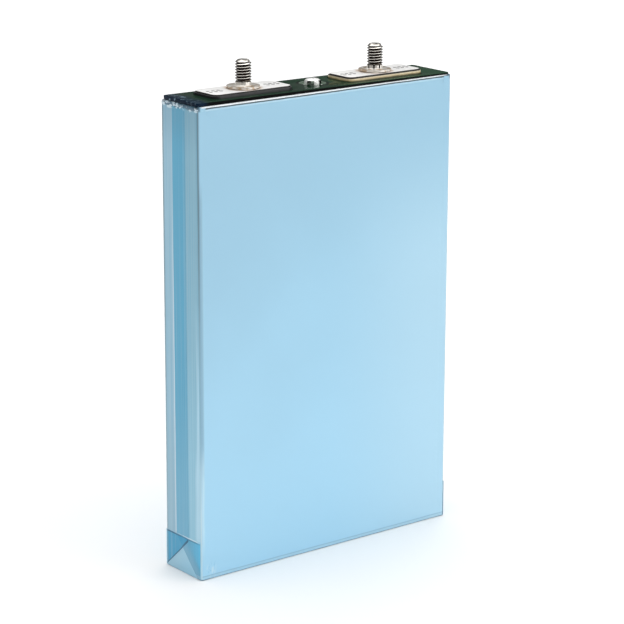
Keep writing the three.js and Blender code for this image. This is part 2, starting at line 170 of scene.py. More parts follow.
class Finish:
    """A Principled material, with short calls for the nodes that feed it."""

    def __init__(self, name, colour, roughness, metallic=0.0, **sockets):
        self.material = bpy.data.materials.new(name)
        self.material.use_nodes = True
        self.nodes = self.material.node_tree.nodes
        self.links = self.material.node_tree.links
        self.shader = self.nodes["Principled BSDF"]
        # The point in the object's own frame, which is the cell's frame, and the way the surface faces.
        place = self.nodes.new("ShaderNodeTexCoord")
        self.position = place.outputs["Object"]
        self.x, self.y, self.z = self.parts(self.position)
        self.normal_x, self.normal_y, self.normal_z = self.parts(place.outputs["Normal"])
        self.shader.inputs["Base Color"].default_value = (*colour, 1.0)
        self.shader.inputs["Roughness"].default_value = roughness
        self.shader.inputs["Metallic"].default_value = metallic
        for socket, value in sockets.items():
            self.shader.inputs[socket.replace("_", " ")].default_value = value

    def feed(self, value, socket):
        """Puts a number, a colour or another node's output into a socket."""
        if isinstance(value, bpy.types.NodeSocket):
            self.links.new(value, socket)
        elif hasattr(socket.default_value, "__len__") and len(socket.default_value) == 4:
            socket.default_value = (*value, 1.0)
        else:
            socket.default_value = value

    def parts(self, vector):
        split = self.nodes.new("ShaderNodeSeparateXYZ")
        self.links.new(vector, split.inputs[0])
        return split.outputs

    def stretched(self, scale):
        mapping = self.nodes.new("ShaderNodeMapping")
        mapping.inputs["Scale"].default_value = scale
        self.links.new(self.position, mapping.inputs["Vector"])
        return mapping.outputs["Vector"]

    def noise(self, scale, detail=3.0, stretch=(1.0, 1.0, 1.0)):
        node = self.nodes.new("ShaderNodeTexNoise")
        node.inputs["Scale"].default_value = scale
        node.inputs["Detail"].default_value = detail
        self.links.new(self.stretched(stretch), node.inputs["Vector"])
        return node.outputs["Fac"]

    def wander(self, reach, scale):
        """A noise that swings by about reach to each side of nothing."""
        return self.times_plus(self.noise(scale, 2.0), 4 * reach, -2 * reach)

    def math(self, operation, first, second=0.0, third=0.0):
        node = self.nodes.new("ShaderNodeMath")
        node.operation = operation
        for value, socket in zip((first, second, third), node.inputs):
            self.feed(value, socket)
        return node.outputs[0]

    def product(self, *factors):
        result = factors[0]
        for factor in factors[1:]:
            result = self.math("MULTIPLY", result, factor)
        return result

    def add(self, first, second):
        return self.math("ADD", first, second)

    def subtract(self, first, second):
        return self.math("SUBTRACT", first, second)

    def larger(self, first, second):
        return self.math("MAXIMUM", first, second)

    def times_plus(self, value, factor, more):
        return self.math("MULTIPLY_ADD", value, factor, more)

    def size(self, value):
        return self.math("ABSOLUTE", value)

    def wavy(self, value, reach, scale):
        """The value, wandering by about reach to each side."""
        return self.add(value, self.wander(reach, scale))

    def facing_out(self, centre_x):
        """How far the surface faces away from an upright axis, times its distance from the axis."""
        across = self.product(self.subtract(self.x, centre_x), self.normal_x)
        return self.times_plus(self.y, self.normal_y, across)

    def radius_about(self, centre_x):
        """The distance from an upright axis."""
        across = self.subtract(self.x, centre_x)
        squares = self.times_plus(across, across, self.math("POWER", self.y, 2.0))
        return self.math("SQRT", squares)

    def ramp(self, value, low, high, to_low=0.0, to_high=1.0):
        """Maps a value smoothly from the stretch low to high onto to_low to to_high."""
        node = self.nodes.new("ShaderNodeMapRange")
        node.interpolation_type = "SMOOTHSTEP"
        self.feed(value, node.inputs["Value"])
        node.inputs["From Min"].default_value = low
        node.inputs["From Max"].default_value = high
        node.inputs["To Min"].default_value = to_low
        node.inputs["To Max"].default_value = to_high
        return node.outputs["Result"]

    def fall(self, value, low, high):
        """One below the stretch low to high, and nothing above it."""
        return self.ramp(value, low, high, 1.0, 0.0)

    def band(self, value, centre, half, soft):
        """One within half of the centre, falling to nothing over the soft margin."""
        away = self.size(self.subtract(value, centre))
        return self.fall(away, max(half - soft, 0.0), half + soft)

    def blend(self, factor, first, second):
        node = self.nodes.new("ShaderNodeMix")
        node.data_type = "RGBA"
        colours = [s for s in node.inputs if s.type == "RGBA"]
        self.feed(factor, node.inputs["Factor"])
        self.feed(first, colours[0])
        self.feed(second, colours[1])
        return next(s for s in node.outputs if s.type == "RGBA")

    def colour(self, value):
        self.links.new(value, self.shader.inputs["Base Color"])

    def tint(self, colour, *strengths):
        """Blends a colour over what already feeds the base colour, by the product of the strengths."""
        below = self.shader.inputs["Base Color"].links[0].from_socket
        self.colour(self.blend(self.product(*strengths), below, colour))

    def roughness(self, value):
        self.links.new(value, self.shader.inputs["Roughness"])

    def metallic(self, value):
        self.links.new(value, self.shader.inputs["Metallic"])

    def bump(self, height, distance, strength):
        node = self.nodes.new("ShaderNodeBump")
        node.inputs["Distance"].default_value = distance
        node.inputs["Strength"].default_value = strength
        self.links.new(height, node.inputs["Height"])
        self.links.new(node.outputs["Normal"], self.shader.inputs["Normal"])


def scaled(colour, factor):
    return tuple(min(1.0, part * factor) for part in colour)


# The film's colour over one, two and three layers.
FILM_ONE = (0.35, 0.62, 0.80)
FILM_TWO = (0.085, 0.42, 0.64)
FILM_THREE = (0.01, 0.34, 0.6)
# Its colour on each flap and on the wide faces' paler part, and a pale colour used where it is slack and
# for painted sheen and highlights.
FILM_FRONT_FLAP = (0.28, 0.56, 0.71)
FILM_REAR_FLAP = (0.37, 0.63, 0.79)
FILM_GREY = (0.33, 0.61, 0.77)
FILM_PALE = (0.49, 0.73, 0.87)
FILM_SHEEN_AND_SLACK = (0.42, 0.65, 0.78)
FILM_DEEP = (0.1, 0.56, 0.86)
# Its painted highlights, from dull to bright, and its painted shade and shadow colours.
FILM_HIGHLIGHT_DULL = (0.52, 0.74, 0.86)
FILM_HIGHLIGHT_EDGE = (0.62, 0.84, 0.94)
FILM_HIGHLIGHT_GLINT = (0.72, 0.86, 0.94)
FILM_HIGHLIGHT_BRIGHT = (0.93, 0.97, 0.99)
FILM_SHADE_TOP = (0.1, 0.25, 0.36)
FILM_SHADE_LINE = (0.09, 0.15, 0.19)
FILM_SHADE_CRUMPLE = (0.03, 0.09, 0.15)
FILM_SHADOW_AND_DOUBLED = (0.0, 0.09, 0.2)

STEEL = (0.97, 0.93, 0.86)
STEEL_SHADE = (0.012, 0.008, 0.006)
STEEL_STAIN = (0.45, 0.3, 0.17)
STEEL_FOOT_SHADE = (0.05, 0.04, 0.03)
STEEL_TIP = (0.12, 0.11, 0.09)
PLATE_METAL = (0.985, 0.98, 0.965)
PLATE_STRAW = (0.55, 0.36, 0.22)
PLATE_WELD = (0.02, 0.017, 0.013)
PLATE_SIDE_SHADE = (0.008, 0.005, 0.003)
AMBER = (0.80, 0.62, 0.34)
AMBER_SHADE_OLIVE = (0.13, 0.12, 0.06)
AMBER_LIT_CREAM = (0.94, 0.8, 0.54)
AMBER_SHADOW_LINE = (0.03, 0.018, 0.01)
COVER_GREEN = (0.012, 0.036, 0.02)
COVER_SHEEN = (0.045, 0.11, 0.06)
COVER_RING_HIGHLIGHT = (0.2, 0.26, 0.21)
COVER_NAVY = (0.005, 0.018, 0.042)
COVER_GLINT_STREAK = (0.3, 0.43, 0.52)
CAP_METAL = (0.97, 0.97, 0.95)
CAP_LIT_INSIDE = (0.2, 0.24, 0.2)
CAP_SHADE_INSIDE = (0.003, 0.003, 0.003)
BLACK = (0.001, 0.001, 0.001)
DARK_PLASTIC = (0.018, 0.019, 0.02)

WELD_OFFSET = 12.6 * MM
WELD_PITCH = 2.2 * MM
WELD_ROW_PITCH = 1.9 * MM
CREASE_BELOW_RIM = 0.72 * MM


def graded(film, colour, low=1.14, high=0.90, reach=film_high.z):
    """Painted shading up the film: a colour whose strength changes slowly from low at the floor to high at
    the reach.
    """
    level = film.wavy(film.z, 25 * MM, 14.0)
    return film.blend(film.ramp(level, 0.0, reach), scaled(colour, low), scaled(colour, high))


def wide_face_colour(film):
    """The wide faces' colour, a little paler towards +X except near the top."""
    across = film.ramp(film.x, -5 * MM, 55 * MM, 0.0, 0.55)
    down = film.ramp(film.z, 165 * MM, 100 * MM)
    return film.blend(film.product(across, down), graded(film, FILM_ONE), FILM_PALE)


def film_finish(name, layers=None, single=None, **grade):
    """Blue polyester film over bright aluminium. layers gives the count of layers less one."""
    film = Finish(name, FILM_ONE, 0.3, 0.1, Coat_Weight=0.12, Coat_Roughness=0.12)
    film.colour(graded(film, single, **grade) if single else wide_face_colour(film))
    if layers is not None:
        count = layers(film)
        film.tint(FILM_TWO, film.ramp(count, 0.0, 1.0))
        film.tint(FILM_THREE, film.ramp(count, 1.0, 2.0))
    film.roughness(film.ramp(film.noise(35.0, 2.0), 0.2, 0.8, 0.28, 0.33))
    film.bump(film.noise(45.0, 2.0), 0.03 * MM, 0.2)
    return film


def towards(film, axis, start, end):
    """Rises from nothing to one between two distances in from the film's narrow sides, which are on
    axis X, or from its wide faces, on axis Y."""
    value, half = {"X": (film.x, WRAP_HALF_X), "Y": (film.y, WRAP_HALF_Y)}[axis]
    return film.ramp(film.size(value), half - start, half - end)


def add_upright_edges(film):
    """Painted shade in a dark line along the can's upright edges, where the film is drawn tight over them.
    At the front edge of the positive side the painted shade fades downwards, and turns to a pale painted
    highlight near the floor."""
    edge = film.product(towards(film, "X", 0.75 * MM, 0.3 * MM), towards(film, "Y", 0.75 * MM, 0.3 * MM))
    height = film.wavy(film.z, 8 * MM, 30.0)
    negative_side = film.ramp(film.x, -1 * MM, 1 * MM)
    rear_half = film.ramp(film.y, -1 * MM, 1 * MM)
    other_edge = film.larger(negative_side, rear_half)
    dark = film.larger(film.ramp(height, 70 * MM, 150 * MM, 0.05, 0.9), other_edge)
    film.tint(FILM_SHADE_LINE, edge, dark, 0.9)
    film.tint(FILM_HIGHLIGHT_EDGE, edge, film.fall(height, 25 * MM, 60 * MM), film.subtract(1.0, other_edge))


def add_rim(film):
    """Painted light at the rim: a pale painted highlight along the rolled rim, a painted shade line in the
    crease below it, and a painted highlight on the swell under the crease.
    """
    below = film.wavy(film.subtract(film_high.z, film.z), 0.05 * MM, 220.0)
    below = film.add(below, film.ramp(film.x, -20 * MM, 30 * MM, 0.0, 0.16 * MM))
    along_face = film.fall(film.size(film.x), WRAP_HALF_X - 2.4 * MM, WRAP_HALF_X - 1.2 * MM)
    film.tint(FILM_HIGHLIGHT_DULL, film.band(below, 1.3 * MM, 0.25 * MM, 0.25 * MM), along_face, 0.6)
    film.tint(scaled(FILM_SHADE_LINE, 0.6), film.band(below, CREASE_BELOW_RIM, 0.26 * MM, 0.06 * MM))
    film.tint(FILM_HIGHLIGHT_BRIGHT, film.fall(below, 0.38 * MM, 0.5 * MM), along_face)


def add_wide_face(film):
    """Round the upright edges the flaps take the wide faces' colour."""
    film.tint(wide_face_colour(film), towards(film, "Y", 0.55 * MM, 0.2 * MM))


def add_streaks(film, reach):
    """Fine upright streaks of painted reflection down the film, pale and darker."""
    lines = film.noise(1500.0, 2.0, (1.0, 1.0, 0.006))
    film.tint(FILM_SHEEN_AND_SLACK, film.ramp(lines, 0.5, 0.72, 0.0, reach))
    film.tint(FILM_TWO, film.ramp(lines, 0.5, 0.3, 0.0, reach))


def add_top_shade(film):
    """Painted shade: the narrow sides darken towards the rim, as in the rim's shade."""
    film.tint(FILM_SHADE_TOP, film.ramp(film.z, 155 * MM, 173 * MM, 0.0, 0.3))


def add_foot(film):
    """Painted light at the foot: a pale painted highlight where the film turns under, a thin painted shade
    line above it, and painted shade at the very bottom.
    """
    height = film.wavy(film.z, 0.05 * MM, 120.0)
    film.tint(scaled(FILM_ONE, 0.9), film.band(height, 1.5 * MM, 0.25 * MM, 0.2 * MM))
    film.tint(FILM_SHEEN_AND_SLACK, film.band(height, 0.9 * MM, 0.25 * MM, 0.15 * MM), 0.6)
    film.tint(scaled(FILM_SHADE_LINE, 2.0), film.ramp(height, 0.3 * MM, 0.5 * MM, 0.6, 0.0))


def add_crumples(film):
    """Painted shade in the folds and painted glints between them, in the crumpled film under the rim of the
    narrow sides.
    """
    side = towards(film, "X", 1.6 * MM, 0.7 * MM)
    below = film.wavy(film.subtract(film_high.z, film.z), 0.35 * MM, 260.0)
    film.tint(FILM_SHADE_CRUMPLE, side, film.fall(below, 1.1 * MM, 1.9 * MM), 0.85)
    spots = film.noise(800.0, 3.0, (1.0, 0.8, 1.6))
    more_behind = film.ramp(film.y, -9 * MM, 11 * MM, 0.0, 0.09)
    glint = film.ramp(film.add(spots, more_behind), 0.56, 0.62)
    film.tint(FILM_HIGHLIGHT_GLINT, side, film.fall(below, 1.7 * MM, 2.5 * MM), glint, 0.85)


def add_corner_strokes(film):
    """Fine pale painted glints and darker blue strokes where the film puckers by the lower corners of the
    positive side.
    """
    from_edge = film.add(film.x, WRAP_HALF_X)
    inner = film.band(from_edge, 3.6 * MM, 2.4 * MM, 1.4 * MM)
    near = film.product(inner, film.band(film.z, 3.4 * MM, 2.2 * MM, 1.8 * MM))
    strokes = film.noise(750.0, 2.0, (1.0, 1.0, 0.35))
    film.tint(FILM_HIGHLIGHT_GLINT, near, film.ramp(strokes, 0.5, 0.62, 0.0, 0.6))
    film.tint(FILM_TWO, near, film.ramp(strokes, 0.48, 0.38, 0.0, 0.5))


def add_edge_wisp(film):
    """Beside the front edge of the positive side: a soft painted shade, and a pale wavering painted
    highlight below it.
    """
    from_edge = film.add(film.x, WRAP_HALF_X)
    height = film.wavy(film.z, 4 * MM, 90.0)
    front = film.fall(film.y, -WRAP_HALF_Y + 0.2 * MM, -WRAP_HALF_Y + 0.55 * MM)
    upper = film.product(film.ramp(height, 25 * MM, 55 * MM), film.fall(height, 135 * MM, 155 * MM))
    film.tint(scaled(FILM_ONE, 0.66), film.ramp(from_edge, 1.2 * MM, 2.1 * MM, 0.7, 0.0), upper, front)
    wavering = film.wavy(from_edge, 0.6 * MM, 45.0)
    lower = film.product(film.ramp(height, 6 * MM, 18 * MM), film.fall(height, 36 * MM, 54 * MM))
    film.tint(FILM_HIGHLIGHT_EDGE, film.band(wavering, 1.1 * MM, 0.55 * MM, 0.45 * MM), lower, front, 0.6)


def wrap_finish():
    film = film_finish("film_wrap")
    add_corner_strokes(film)
    add_foot(film)
    add_upright_edges(film)
    add_rim(film)
    add_crumples(film)
    return film.material


def on_narrow_side(film):
    """One on the flat of a narrow side, and nothing round the upright edges."""
    return towards(film, "X", 0.16 * MM, 0.02 * MM)


def bottom_layers(film, count=1.2):
    """The bottom flap and its tucked corners lie under everything below the fold's height."""
    height = film.wavy(film.z, 0.12 * MM, 140.0)
    below = film.fall(height, FOLD_HEIGHT - 0.15 * MM, FOLD_HEIGHT + 0.15 * MM)
    return film.product(below, on_narrow_side(film), count)


def rear_layers(film):
    """Below the fold as on the front flap, and one more layer over the front flap."""
    covered = film.fall(film.y, FLAP_FREE_FRONT - 0.12 * MM, FLAP_FREE_FRONT + 0.12 * MM)
    reached = film.product(film.subtract(film.y, FOLD_FRONT_START), FOLD_FRONT_SLOPE)
    above = film.ramp(film.subtract(film.z, reached), -0.15 * MM, 0.15 * MM)
    return film.add(bottom_layers(film, 1.55), film.product(covered, above, on_narrow_side(film)))


def add_fold_line(film):
    """The bottom flap's top edge shows through: a pale painted highlight along it, with a painted shadow
    under it.
    """
    height = film.wavy(film.z, 0.06 * MM, 200.0)
    shown = film.product(on_narrow_side(film), film.ramp(film.noise(260.0, 1.0), 0.3, 0.5, 0.45, 1.0))
    to_front = film.ramp(film.y, 7 * MM, -4 * MM)
    pale = film.band(height, FOLD_HEIGHT + 0.2 * MM, 0.22 * MM, 0.12 * MM)
    film.tint(FILM_HIGHLIGHT_GLINT, pale, shown, film.times_plus(to_front, 0.75, 0.1))
    dark = film.band(height, FOLD_HEIGHT - 0.3 * MM, 0.25 * MM, 0.12 * MM)
    film.tint(FILM_SHADOW_AND_DOUBLED, dark, shown, film.times_plus(to_front, -0.35, 0.9))


def front_flap_finish(label):
    """Slack and paler by the front edge in the lower half, with a shade line beside the rear flap."""
    film = film_finish(f"film_front_{label}", bottom_layers, FILM_FRONT_FLAP)
    add_streaks(film, 0.35)
    add_top_shade(film)
    above_fold = film.ramp(film.z, FOLD_HEIGHT + 0.2 * MM, FOLD_HEIGHT + 0.8 * MM)
    low_half = film.product(film.fall(film.z, 62 * MM, 108 * MM), above_fold)
    from_edge = film.wavy(film.add(film.y, WRAP_HALF_Y), 1.3 * MM, 18.0)
    slack = film.ramp(from_edge, 1.6 * MM, 3.2 * MM, 0.85, 0.0)
    film.tint(scaled(FILM_SHEEN_AND_SLACK, 1.22), slack, low_half, on_narrow_side(film))
    shade = film.band(film.y, FLAP_FREE_REAR - 0.25 * MM, 0.22 * MM, 0.2 * MM)
    film.tint(FILM_TWO, shade, above_fold, 0.5)
    below_fold = film.subtract(1.0, above_fold)
    to_mitre = film.subtract(film.product(film.y, FOLD_FRONT_SLOPE), film.z)
    inner_side = film.ramp(to_mitre, -18 * MM, -10.5 * MM, 0.0, 0.5)
    film.tint(scaled(FILM_ONE, 0.85), below_fold, inner_side)
    by_edge = film.ramp(film.y, -10.5 * MM, -3.5 * MM, 0.75, 0.0)
    film.tint(FILM_DEEP, below_fold, by_edge, film.fall(inner_side, 0.0, 0.3))
    add_fold_line(film)
    add_wide_face(film)
    add_edge_wisp(film)
    add_foot(film)
    add_upright_edges(film)
    add_crumples(film)
    return film.material


def rear_flap_finish(label):
    """A pale painted highlight where the film bridges the front flap's edge, clearer lower down; painted
    shadow along the mitred fold, and painted shade where the film bends round the upright edge.
    """
    # Painted shading: the rear flap is darker near the floor than above 75 mm.
    grade = {"low": 0.84, "high": 0.94, "reach": 75 * MM}
    film = film_finish(f"film_rear_{label}", rear_layers, FILM_REAR_FLAP, **grade)
    add_streaks(film, 0.25)
    add_top_shade(film)
    above_fold = film.ramp(film.z, FOLD_HEIGHT, FOLD_HEIGHT + 1 * MM)
    film.tint(FILM_SHEEN_AND_SLACK, film.ramp(film.z, 75 * MM, 20 * MM, 0.0, 0.22), above_fold)
    shown = film.product(film.ramp(film.z, 95 * MM, 150 * MM, 0.8, 0.15), above_fold)
    y = film.wavy(film.y, 0.15 * MM, 25.0)
    # Painted highlight along the bridge over the front flap's edge.
    bridge = film.band(y, FLAP_FREE_FRONT + 0.3 * MM, 0.28 * MM, 0.22 * MM)
    film.tint(FILM_HIGHLIGHT_GLINT, bridge, shown)
    add_fold_line(film)
    # Painted shadow along the mitred fold's edge, darker also where the film lies doubled.
    mitre = film.times_plus(film.y, FOLD_REAR_SLOPE, film.z)
    over = film.subtract(mitre, film_high.y * FOLD_REAR_SLOPE)
    along = film.ramp(film.y, -2 * MM, 3 * MM, 1.1 * MM, 0.45 * MM)
    dark = film.math("LESS_THAN", film.wavy(over, 0.1 * MM, 300.0), along)
    film.tint(FILM_SHADOW_AND_DOUBLED, dark, film.ramp(film.z, FOLD_HEIGHT, FOLD_HEIGHT + 0.3 * MM, 0.85, 0.0))
    # Painted shade where the film bends round the upright edge.
    bend_shade = film.ramp(film.y, WRAP_HALF_Y - 1.9 * MM, WRAP_HALF_Y - 1.3 * MM)
    film.tint(scaled(FILM_SHADE_LINE, 1.5), bend_shade, film.ramp(film.z, 20 * MM, 120 * MM, 0.4, 0.75))
    add_wide_face(film)
    add_upright_edges(film)
    add_crumples(film)
    return film.material


def bottom_flap_finish(label):
    film = film_finish(f"film_bottom_{label}", single=FILM_GREY)
    diagonal = film.add(film.y, film.z)
    folds = film.noise(300.0, 3.0, (1.0, 0.3, 1.0))
    across_folds = film.times_plus(folds, 10 * MM, diagonal)
    film.tint(FILM_SHEEN_AND_SLACK, film.ramp(across_folds, 4 * MM, 14 * MM, 0.0, 0.35))
    return film.material


def metal_finish(name, colour, roughness, grain=(1.0, 1.0, 1.0), grain_scale=1500.0):
    metal = Finish(name, colour, roughness, 1.0)
    grains = metal.noise(grain_scale, 4.0, grain)
    metal.colour(metal.blend(grains, scaled(colour, 0.86), colour))
    metal.roughness(metal.ramp(grains, 0.25, 0.8, roughness * 0.75, roughness * 1.35))
    metal.bump(grains, 0.004 * MM, 0.5)
    return metal


def plastic_finish(name, colour, roughness, mottle=0.12, scale=400.0, **sockets):
    plastic = Finish(name, colour, roughness, 0.0, **sockets)
    spots = plastic.noise(scale, 4.0)
    plastic.colour(plastic.blend(spots, scaled(colour, 1.0 - mottle), scaled(colour, 1.0 + mottle)))
    plastic.roughness(plastic.ramp(spots, 0.3, 0.7, roughness * 0.85, roughness * 1.15))
    plastic.bump(spots, 0.01 * MM, 0.4)
    return plastic


def stud_finish(name, centre_x):
    """Nickel-plated steel: painted shade in the thread roots, on the lower flanks, in the collar's notches
    and round the flange's foot; flange stained in places.
    """
    steel = metal_finish(name, STEEL, 0.2, grain_scale=2500.0)
    radius = steel.radius_about(centre_x)
    height = steel.subtract(steel.z, plate_high.z)
    stud_height = stud_high.z - plate_high.z
    collar_top = FLANGE_HEIGHT + COLLAR_HEIGHT
    thread_from = steel.ramp(height, collar_top + 0.4 * MM, collar_top + 0.6 * MM)
    thread_to = steel.fall(height, stud_height - 0.75 * MM, stud_height - 0.6 * MM)
    # Painted shade in the thread roots and on the downward-facing flanks.
    root = steel.fall(radius, 2.43 * MM, 2.53 * MM)
    under = steel.fall(steel.normal_z, -0.5, -0.25)
    dark = steel.larger(root, under)
    steel.tint(STEEL_SHADE, thread_from, thread_to, dark)
    # Painted shade in the collar's notches.
    on_collar = steel.band(height, FLANGE_HEIGHT + 0.55 * COLLAR_HEIGHT, 0.5 * COLLAR_HEIGHT, 0.05 * MM)
    notch = steel.fall(radius, COLLAR_RADIUS - 0.2 * MM, COLLAR_RADIUS - 0.08 * MM)
    steel.tint(STEEL_SHADE, on_collar, notch)
    flange = steel.fall(height, FLANGE_HEIGHT + 0.03 * MM, FLANGE_HEIGHT + 0.3 * MM)
    low_part = steel.fall(height, collar_top, collar_top + 0.3 * MM)
    stain = steel.ramp(steel.noise(420.0, 3.0), 0.47, 0.6, 0.05, 0.85)
    steel.tint(STEEL_STAIN, flange, stain)
    # Painted shade round the flange's foot, broken up by noise.
    skirt = steel.fall(height, 0.1 * MM, 0.45 * MM)
    steel.tint(STEEL_FOOT_SHADE, skirt, steel.ramp(steel.noise(300.0, 2.0), 0.42, 0.52, 0.2, 0.95))
    tip = steel.ramp(height, stud_height - 0.35 * MM, stud_height - 0.25 * MM)
    steel.tint(STEEL_TIP, tip, steel.ramp(steel.noise(900.0, 3.0), 0.4, 0.52, 0.1, 1.0))
    steel.metallic(steel.ramp(steel.larger(low_part, tip), 0.0, 1.0, 1.0, 0.4))
    return steel.material


def plate_finish(name, centre_x):
    """Bright brushed aluminium with a straw heat tint round the flange, two rows of weld spots, and painted
    shade on its side faces.
    """
    plate = metal_finish(name, PLATE_METAL, 0.36, (0.05, 1.0, 1.0), 2200.0)
    plate.shader.inputs["Metallic"].default_value = 0.06
    reach = plate.wavy(plate.radius_about(centre_x), 0.5 * MM, 500.0)
    plate.tint(PLATE_STRAW, plate.ramp(reach, 6.4 * MM, 7.6 * MM, 0.55, 0.0))
    from_stud = plate.size(plate.subtract(plate.x, centre_x))
    in_columns = plate.band(from_stud, WELD_OFFSET, 3.3 * MM, 0.2 * MM)
    in_rows = plate.band(plate.y, 0.0, 1.9 * MM, 0.1 * MM)
    along = plate.subtract(from_stud, WELD_OFFSET)
    along = plate.math("COSINE", plate.product(along, 2 * math.pi / WELD_PITCH))
    across = plate.math("COSINE", plate.product(plate.y, 2 * math.pi / WELD_ROW_PITCH))
    spots = plate.wavy(plate.subtract(along, across), 0.35, 700.0)
    plate.tint(PLATE_WELD, in_columns, in_rows, plate.ramp(spots, 0.2, 0.7))
    # Painted shade on the plate's side faces, below its top.
    shaded_side = plate.fall(plate.z, plate_high.z - 0.03 * MM, plate_high.z - 0.006 * MM)
    plate.tint(PLATE_SIDE_SHADE, shaded_side)
    return plate.material


def amber_finish():
    """Amber moulding with painted light: a cream painted highlight high on its sides, painted shade that
    turns olive and darker towards the cover sheet, and a painted shadow line under the plate's edge.
    """
    amber = plastic_finish("amber_insulator", AMBER, 0.3, 0.1)
    # Painted light: olive painted shade low down, cream painted highlight above it, painted shadow line
    # under the plate.
    down = amber.wavy(amber.subtract(plate_high.z, amber.z), 0.1 * MM, 300.0)
    amber.tint(AMBER_SHADE_OLIVE, amber.ramp(down, 1.15 * MM, 1.6 * MM))
    amber.tint(AMBER_LIT_CREAM, amber.fall(down, 0.9 * MM, 1.15 * MM))
    rim_top = amber.subtract(plate_high.z, amber.z)
    amber.tint(AMBER_SHADOW_LINE, amber.fall(rim_top, 0.54 * MM, 0.6 * MM))
    return amber.material


def add_vent_ring(cover):
    """A pale painted highlight on the opening's edge, turned up round the vent cap, with a painted shadow
    outside it.
    """
    reach = cover.radius_about(VENT_X)
    patchy = cover.ramp(cover.noise(500.0, 2.0), 0.35, 0.5, 0.4, 1.0)
    cover.tint(BLACK, cover.band(reach, VENT_OPENING + 0.9 * MM, 0.4 * MM, 0.3 * MM), 0.8)
    cover.tint(COVER_RING_HIGHLIGHT, cover.band(reach, VENT_OPENING + 0.1 * MM, 0.2 * MM, 0.1 * MM), patchy)


def add_gathered_film(cover):
    """Navy film and pale painted glints in streaks at the positive end, where the gathered film creeps over
    the sheet's edge.
    """
    from_end = cover.wavy(cover.subtract(cover.x, cover_low.x), 1.5 * MM, 200.0)
    cover.tint(COVER_NAVY, cover.ramp(from_end, 1.5 * MM, 7 * MM, 0.85, 0.0))
    streaks = cover.ramp(cover.noise(800.0, 3.0, (0.45, 1.0, 1.0)), 0.54, 0.6, 0.0, 0.8)
    to_rear = cover.ramp(cover.y, -5 * MM, 6 * MM, 0.2, 1.0)
    on_end = cover.fall(from_end, 0.8 * MM, 5.5 * MM)
    cover.tint(COVER_GLINT_STREAK, on_end, to_rear, streaks)


def cover_finish():
    """Glossy green-black sheet with a faint grain, a black cut edge, and a painted sheen that grows towards
    +X.
    """
    cover = plastic_finish("cover_sheet", COVER_GREEN, 0.14, 0.35, 700.0, Specular_IOR_Level=0.05)
    # Painted sheen, growing towards +X.
    cover.tint(COVER_SHEEN, cover.ramp(cover.x, -10 * MM, 30 * MM, 0.0, 0.33))
    slope = -COVER_RISE_END / cover_high.x
    top = cover.times_plus(cover.x, slope, cover_high.z + COVER_RISE_MIDDLE)
    down = cover.ramp(cover.subtract(top, cover.z), 0.1 * MM, 0.16 * MM)
    by_face = cover.ramp(cover.size(cover.y), cover_high.y - 1.5 * MM, cover_high.y - 0.5 * MM)
    by_side = cover.ramp(cover.size(cover.x), cover_high.x - 1.5 * MM, cover_high.x - 0.5 * MM)
    rim = cover.larger(by_face, by_side)
    cover.tint(BLACK, down, rim)
    add_vent_ring(cover)
    add_gathered_film(cover)
    ripple = cover.add(cover.noise(120.0, 2.0), cover.noise(1100.0, 2.0))
    cover.bump(ripple, 0.02 * MM, 0.2)
    return cover.material


def vent_cap_finish():
    """Bright pressed metal outside; painted shade within, darkest under the dome, turning to a grey-green
    painted light low inside.
    """
    cap = metal_finish("vent_cap", CAP_METAL, 0.3)
    cap.shader.inputs["Metallic"].default_value = 0.35
    inward = cap.fall(cap.facing_out(VENT_X), -0.3 * MM, -0.1 * MM)
    under = cap.fall(cap.normal_z, -0.5, -0.25)
    height = cap.subtract(cap.z, vent_low.z)
    inner_shade = cap.blend(cap.ramp(height, 0.7 * MM, 1.1 * MM), CAP_LIT_INSIDE, CAP_SHADE_INSIDE)
    cap.tint(inner_shade, cap.larger(inward, under))
    return cap.material


def roll_finish(name):
    """White separator with the edges of many dark layers showing at the wound ends."""
    roll = Finish(name, (0.72, 0.72, 0.68), 0.6)
    wave = roll.nodes.new("ShaderNodeTexWave")
    wave.bands_direction = "Y"
    wave.inputs["Scale"].default_value = 900.0
    roll.links.new(roll.position, wave.inputs["Vector"])
    roll.colour(roll.blend(wave.outputs["Fac"], (0.5, 0.5, 0.48), (0.8, 0.8, 0.77)))
    roll.bump(wave.outputs["Fac"], 0.02 * MM, 0.3)
    return roll.material


# ---------------------------------------------------------------- mesh building


FILM_SMOOTH_ANGLE = math.radians(50)
THREAD_SMOOTH_ANGLE = math.radians(38)
HARD_SMOOTH_ANGLE = math.radians(35)
BEVEL_FROM_ANGLE = math.radians(40)


def reshape(mesh, change):
    """Puts a mesh through a change that works on its bmesh."""
    shape = bmesh.new()
    shape.from_mesh(mesh)
    change(shape)
    shape.to_mesh(mesh)
    shape.free()


def dress(mesh, material, smooth_angle):
    """Gives a mesh one material, and smooth shading up to an angle."""
    mesh.materials.clear()
    mesh.materials.append(material)
    mesh.shade_smooth()
    mesh.set_sharp_from_angle(angle=smooth_angle)


def weld_outward(shape):
    bmesh.ops.remove_doubles(shape, verts=shape.verts, dist=1e-8)
    bmesh.ops.recalc_face_normals(shape, faces=shape.faces)


def make_object(name, vertices, faces, material, smooth_angle):
    """A mesh piece with outward faces."""
    mesh = bpy.data.meshes.new(name)
    mesh.from_pydata(vertices, [], faces)
    reshape(mesh, weld_outward)
    dress(mesh, material, smooth_angle)
    return add_to_scene(name, mesh)


def place_piece(piece, slot, *nodes):
    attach(piece, BODY)
    if nodes:
        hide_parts(*nodes)
    return piece


def end_faces(count, ring_count):
    """The faces that close the first and the last ring."""
    last = (ring_count - 1) * count
    return [tuple(range(count))[::-1], tuple(range(last, last + count))]


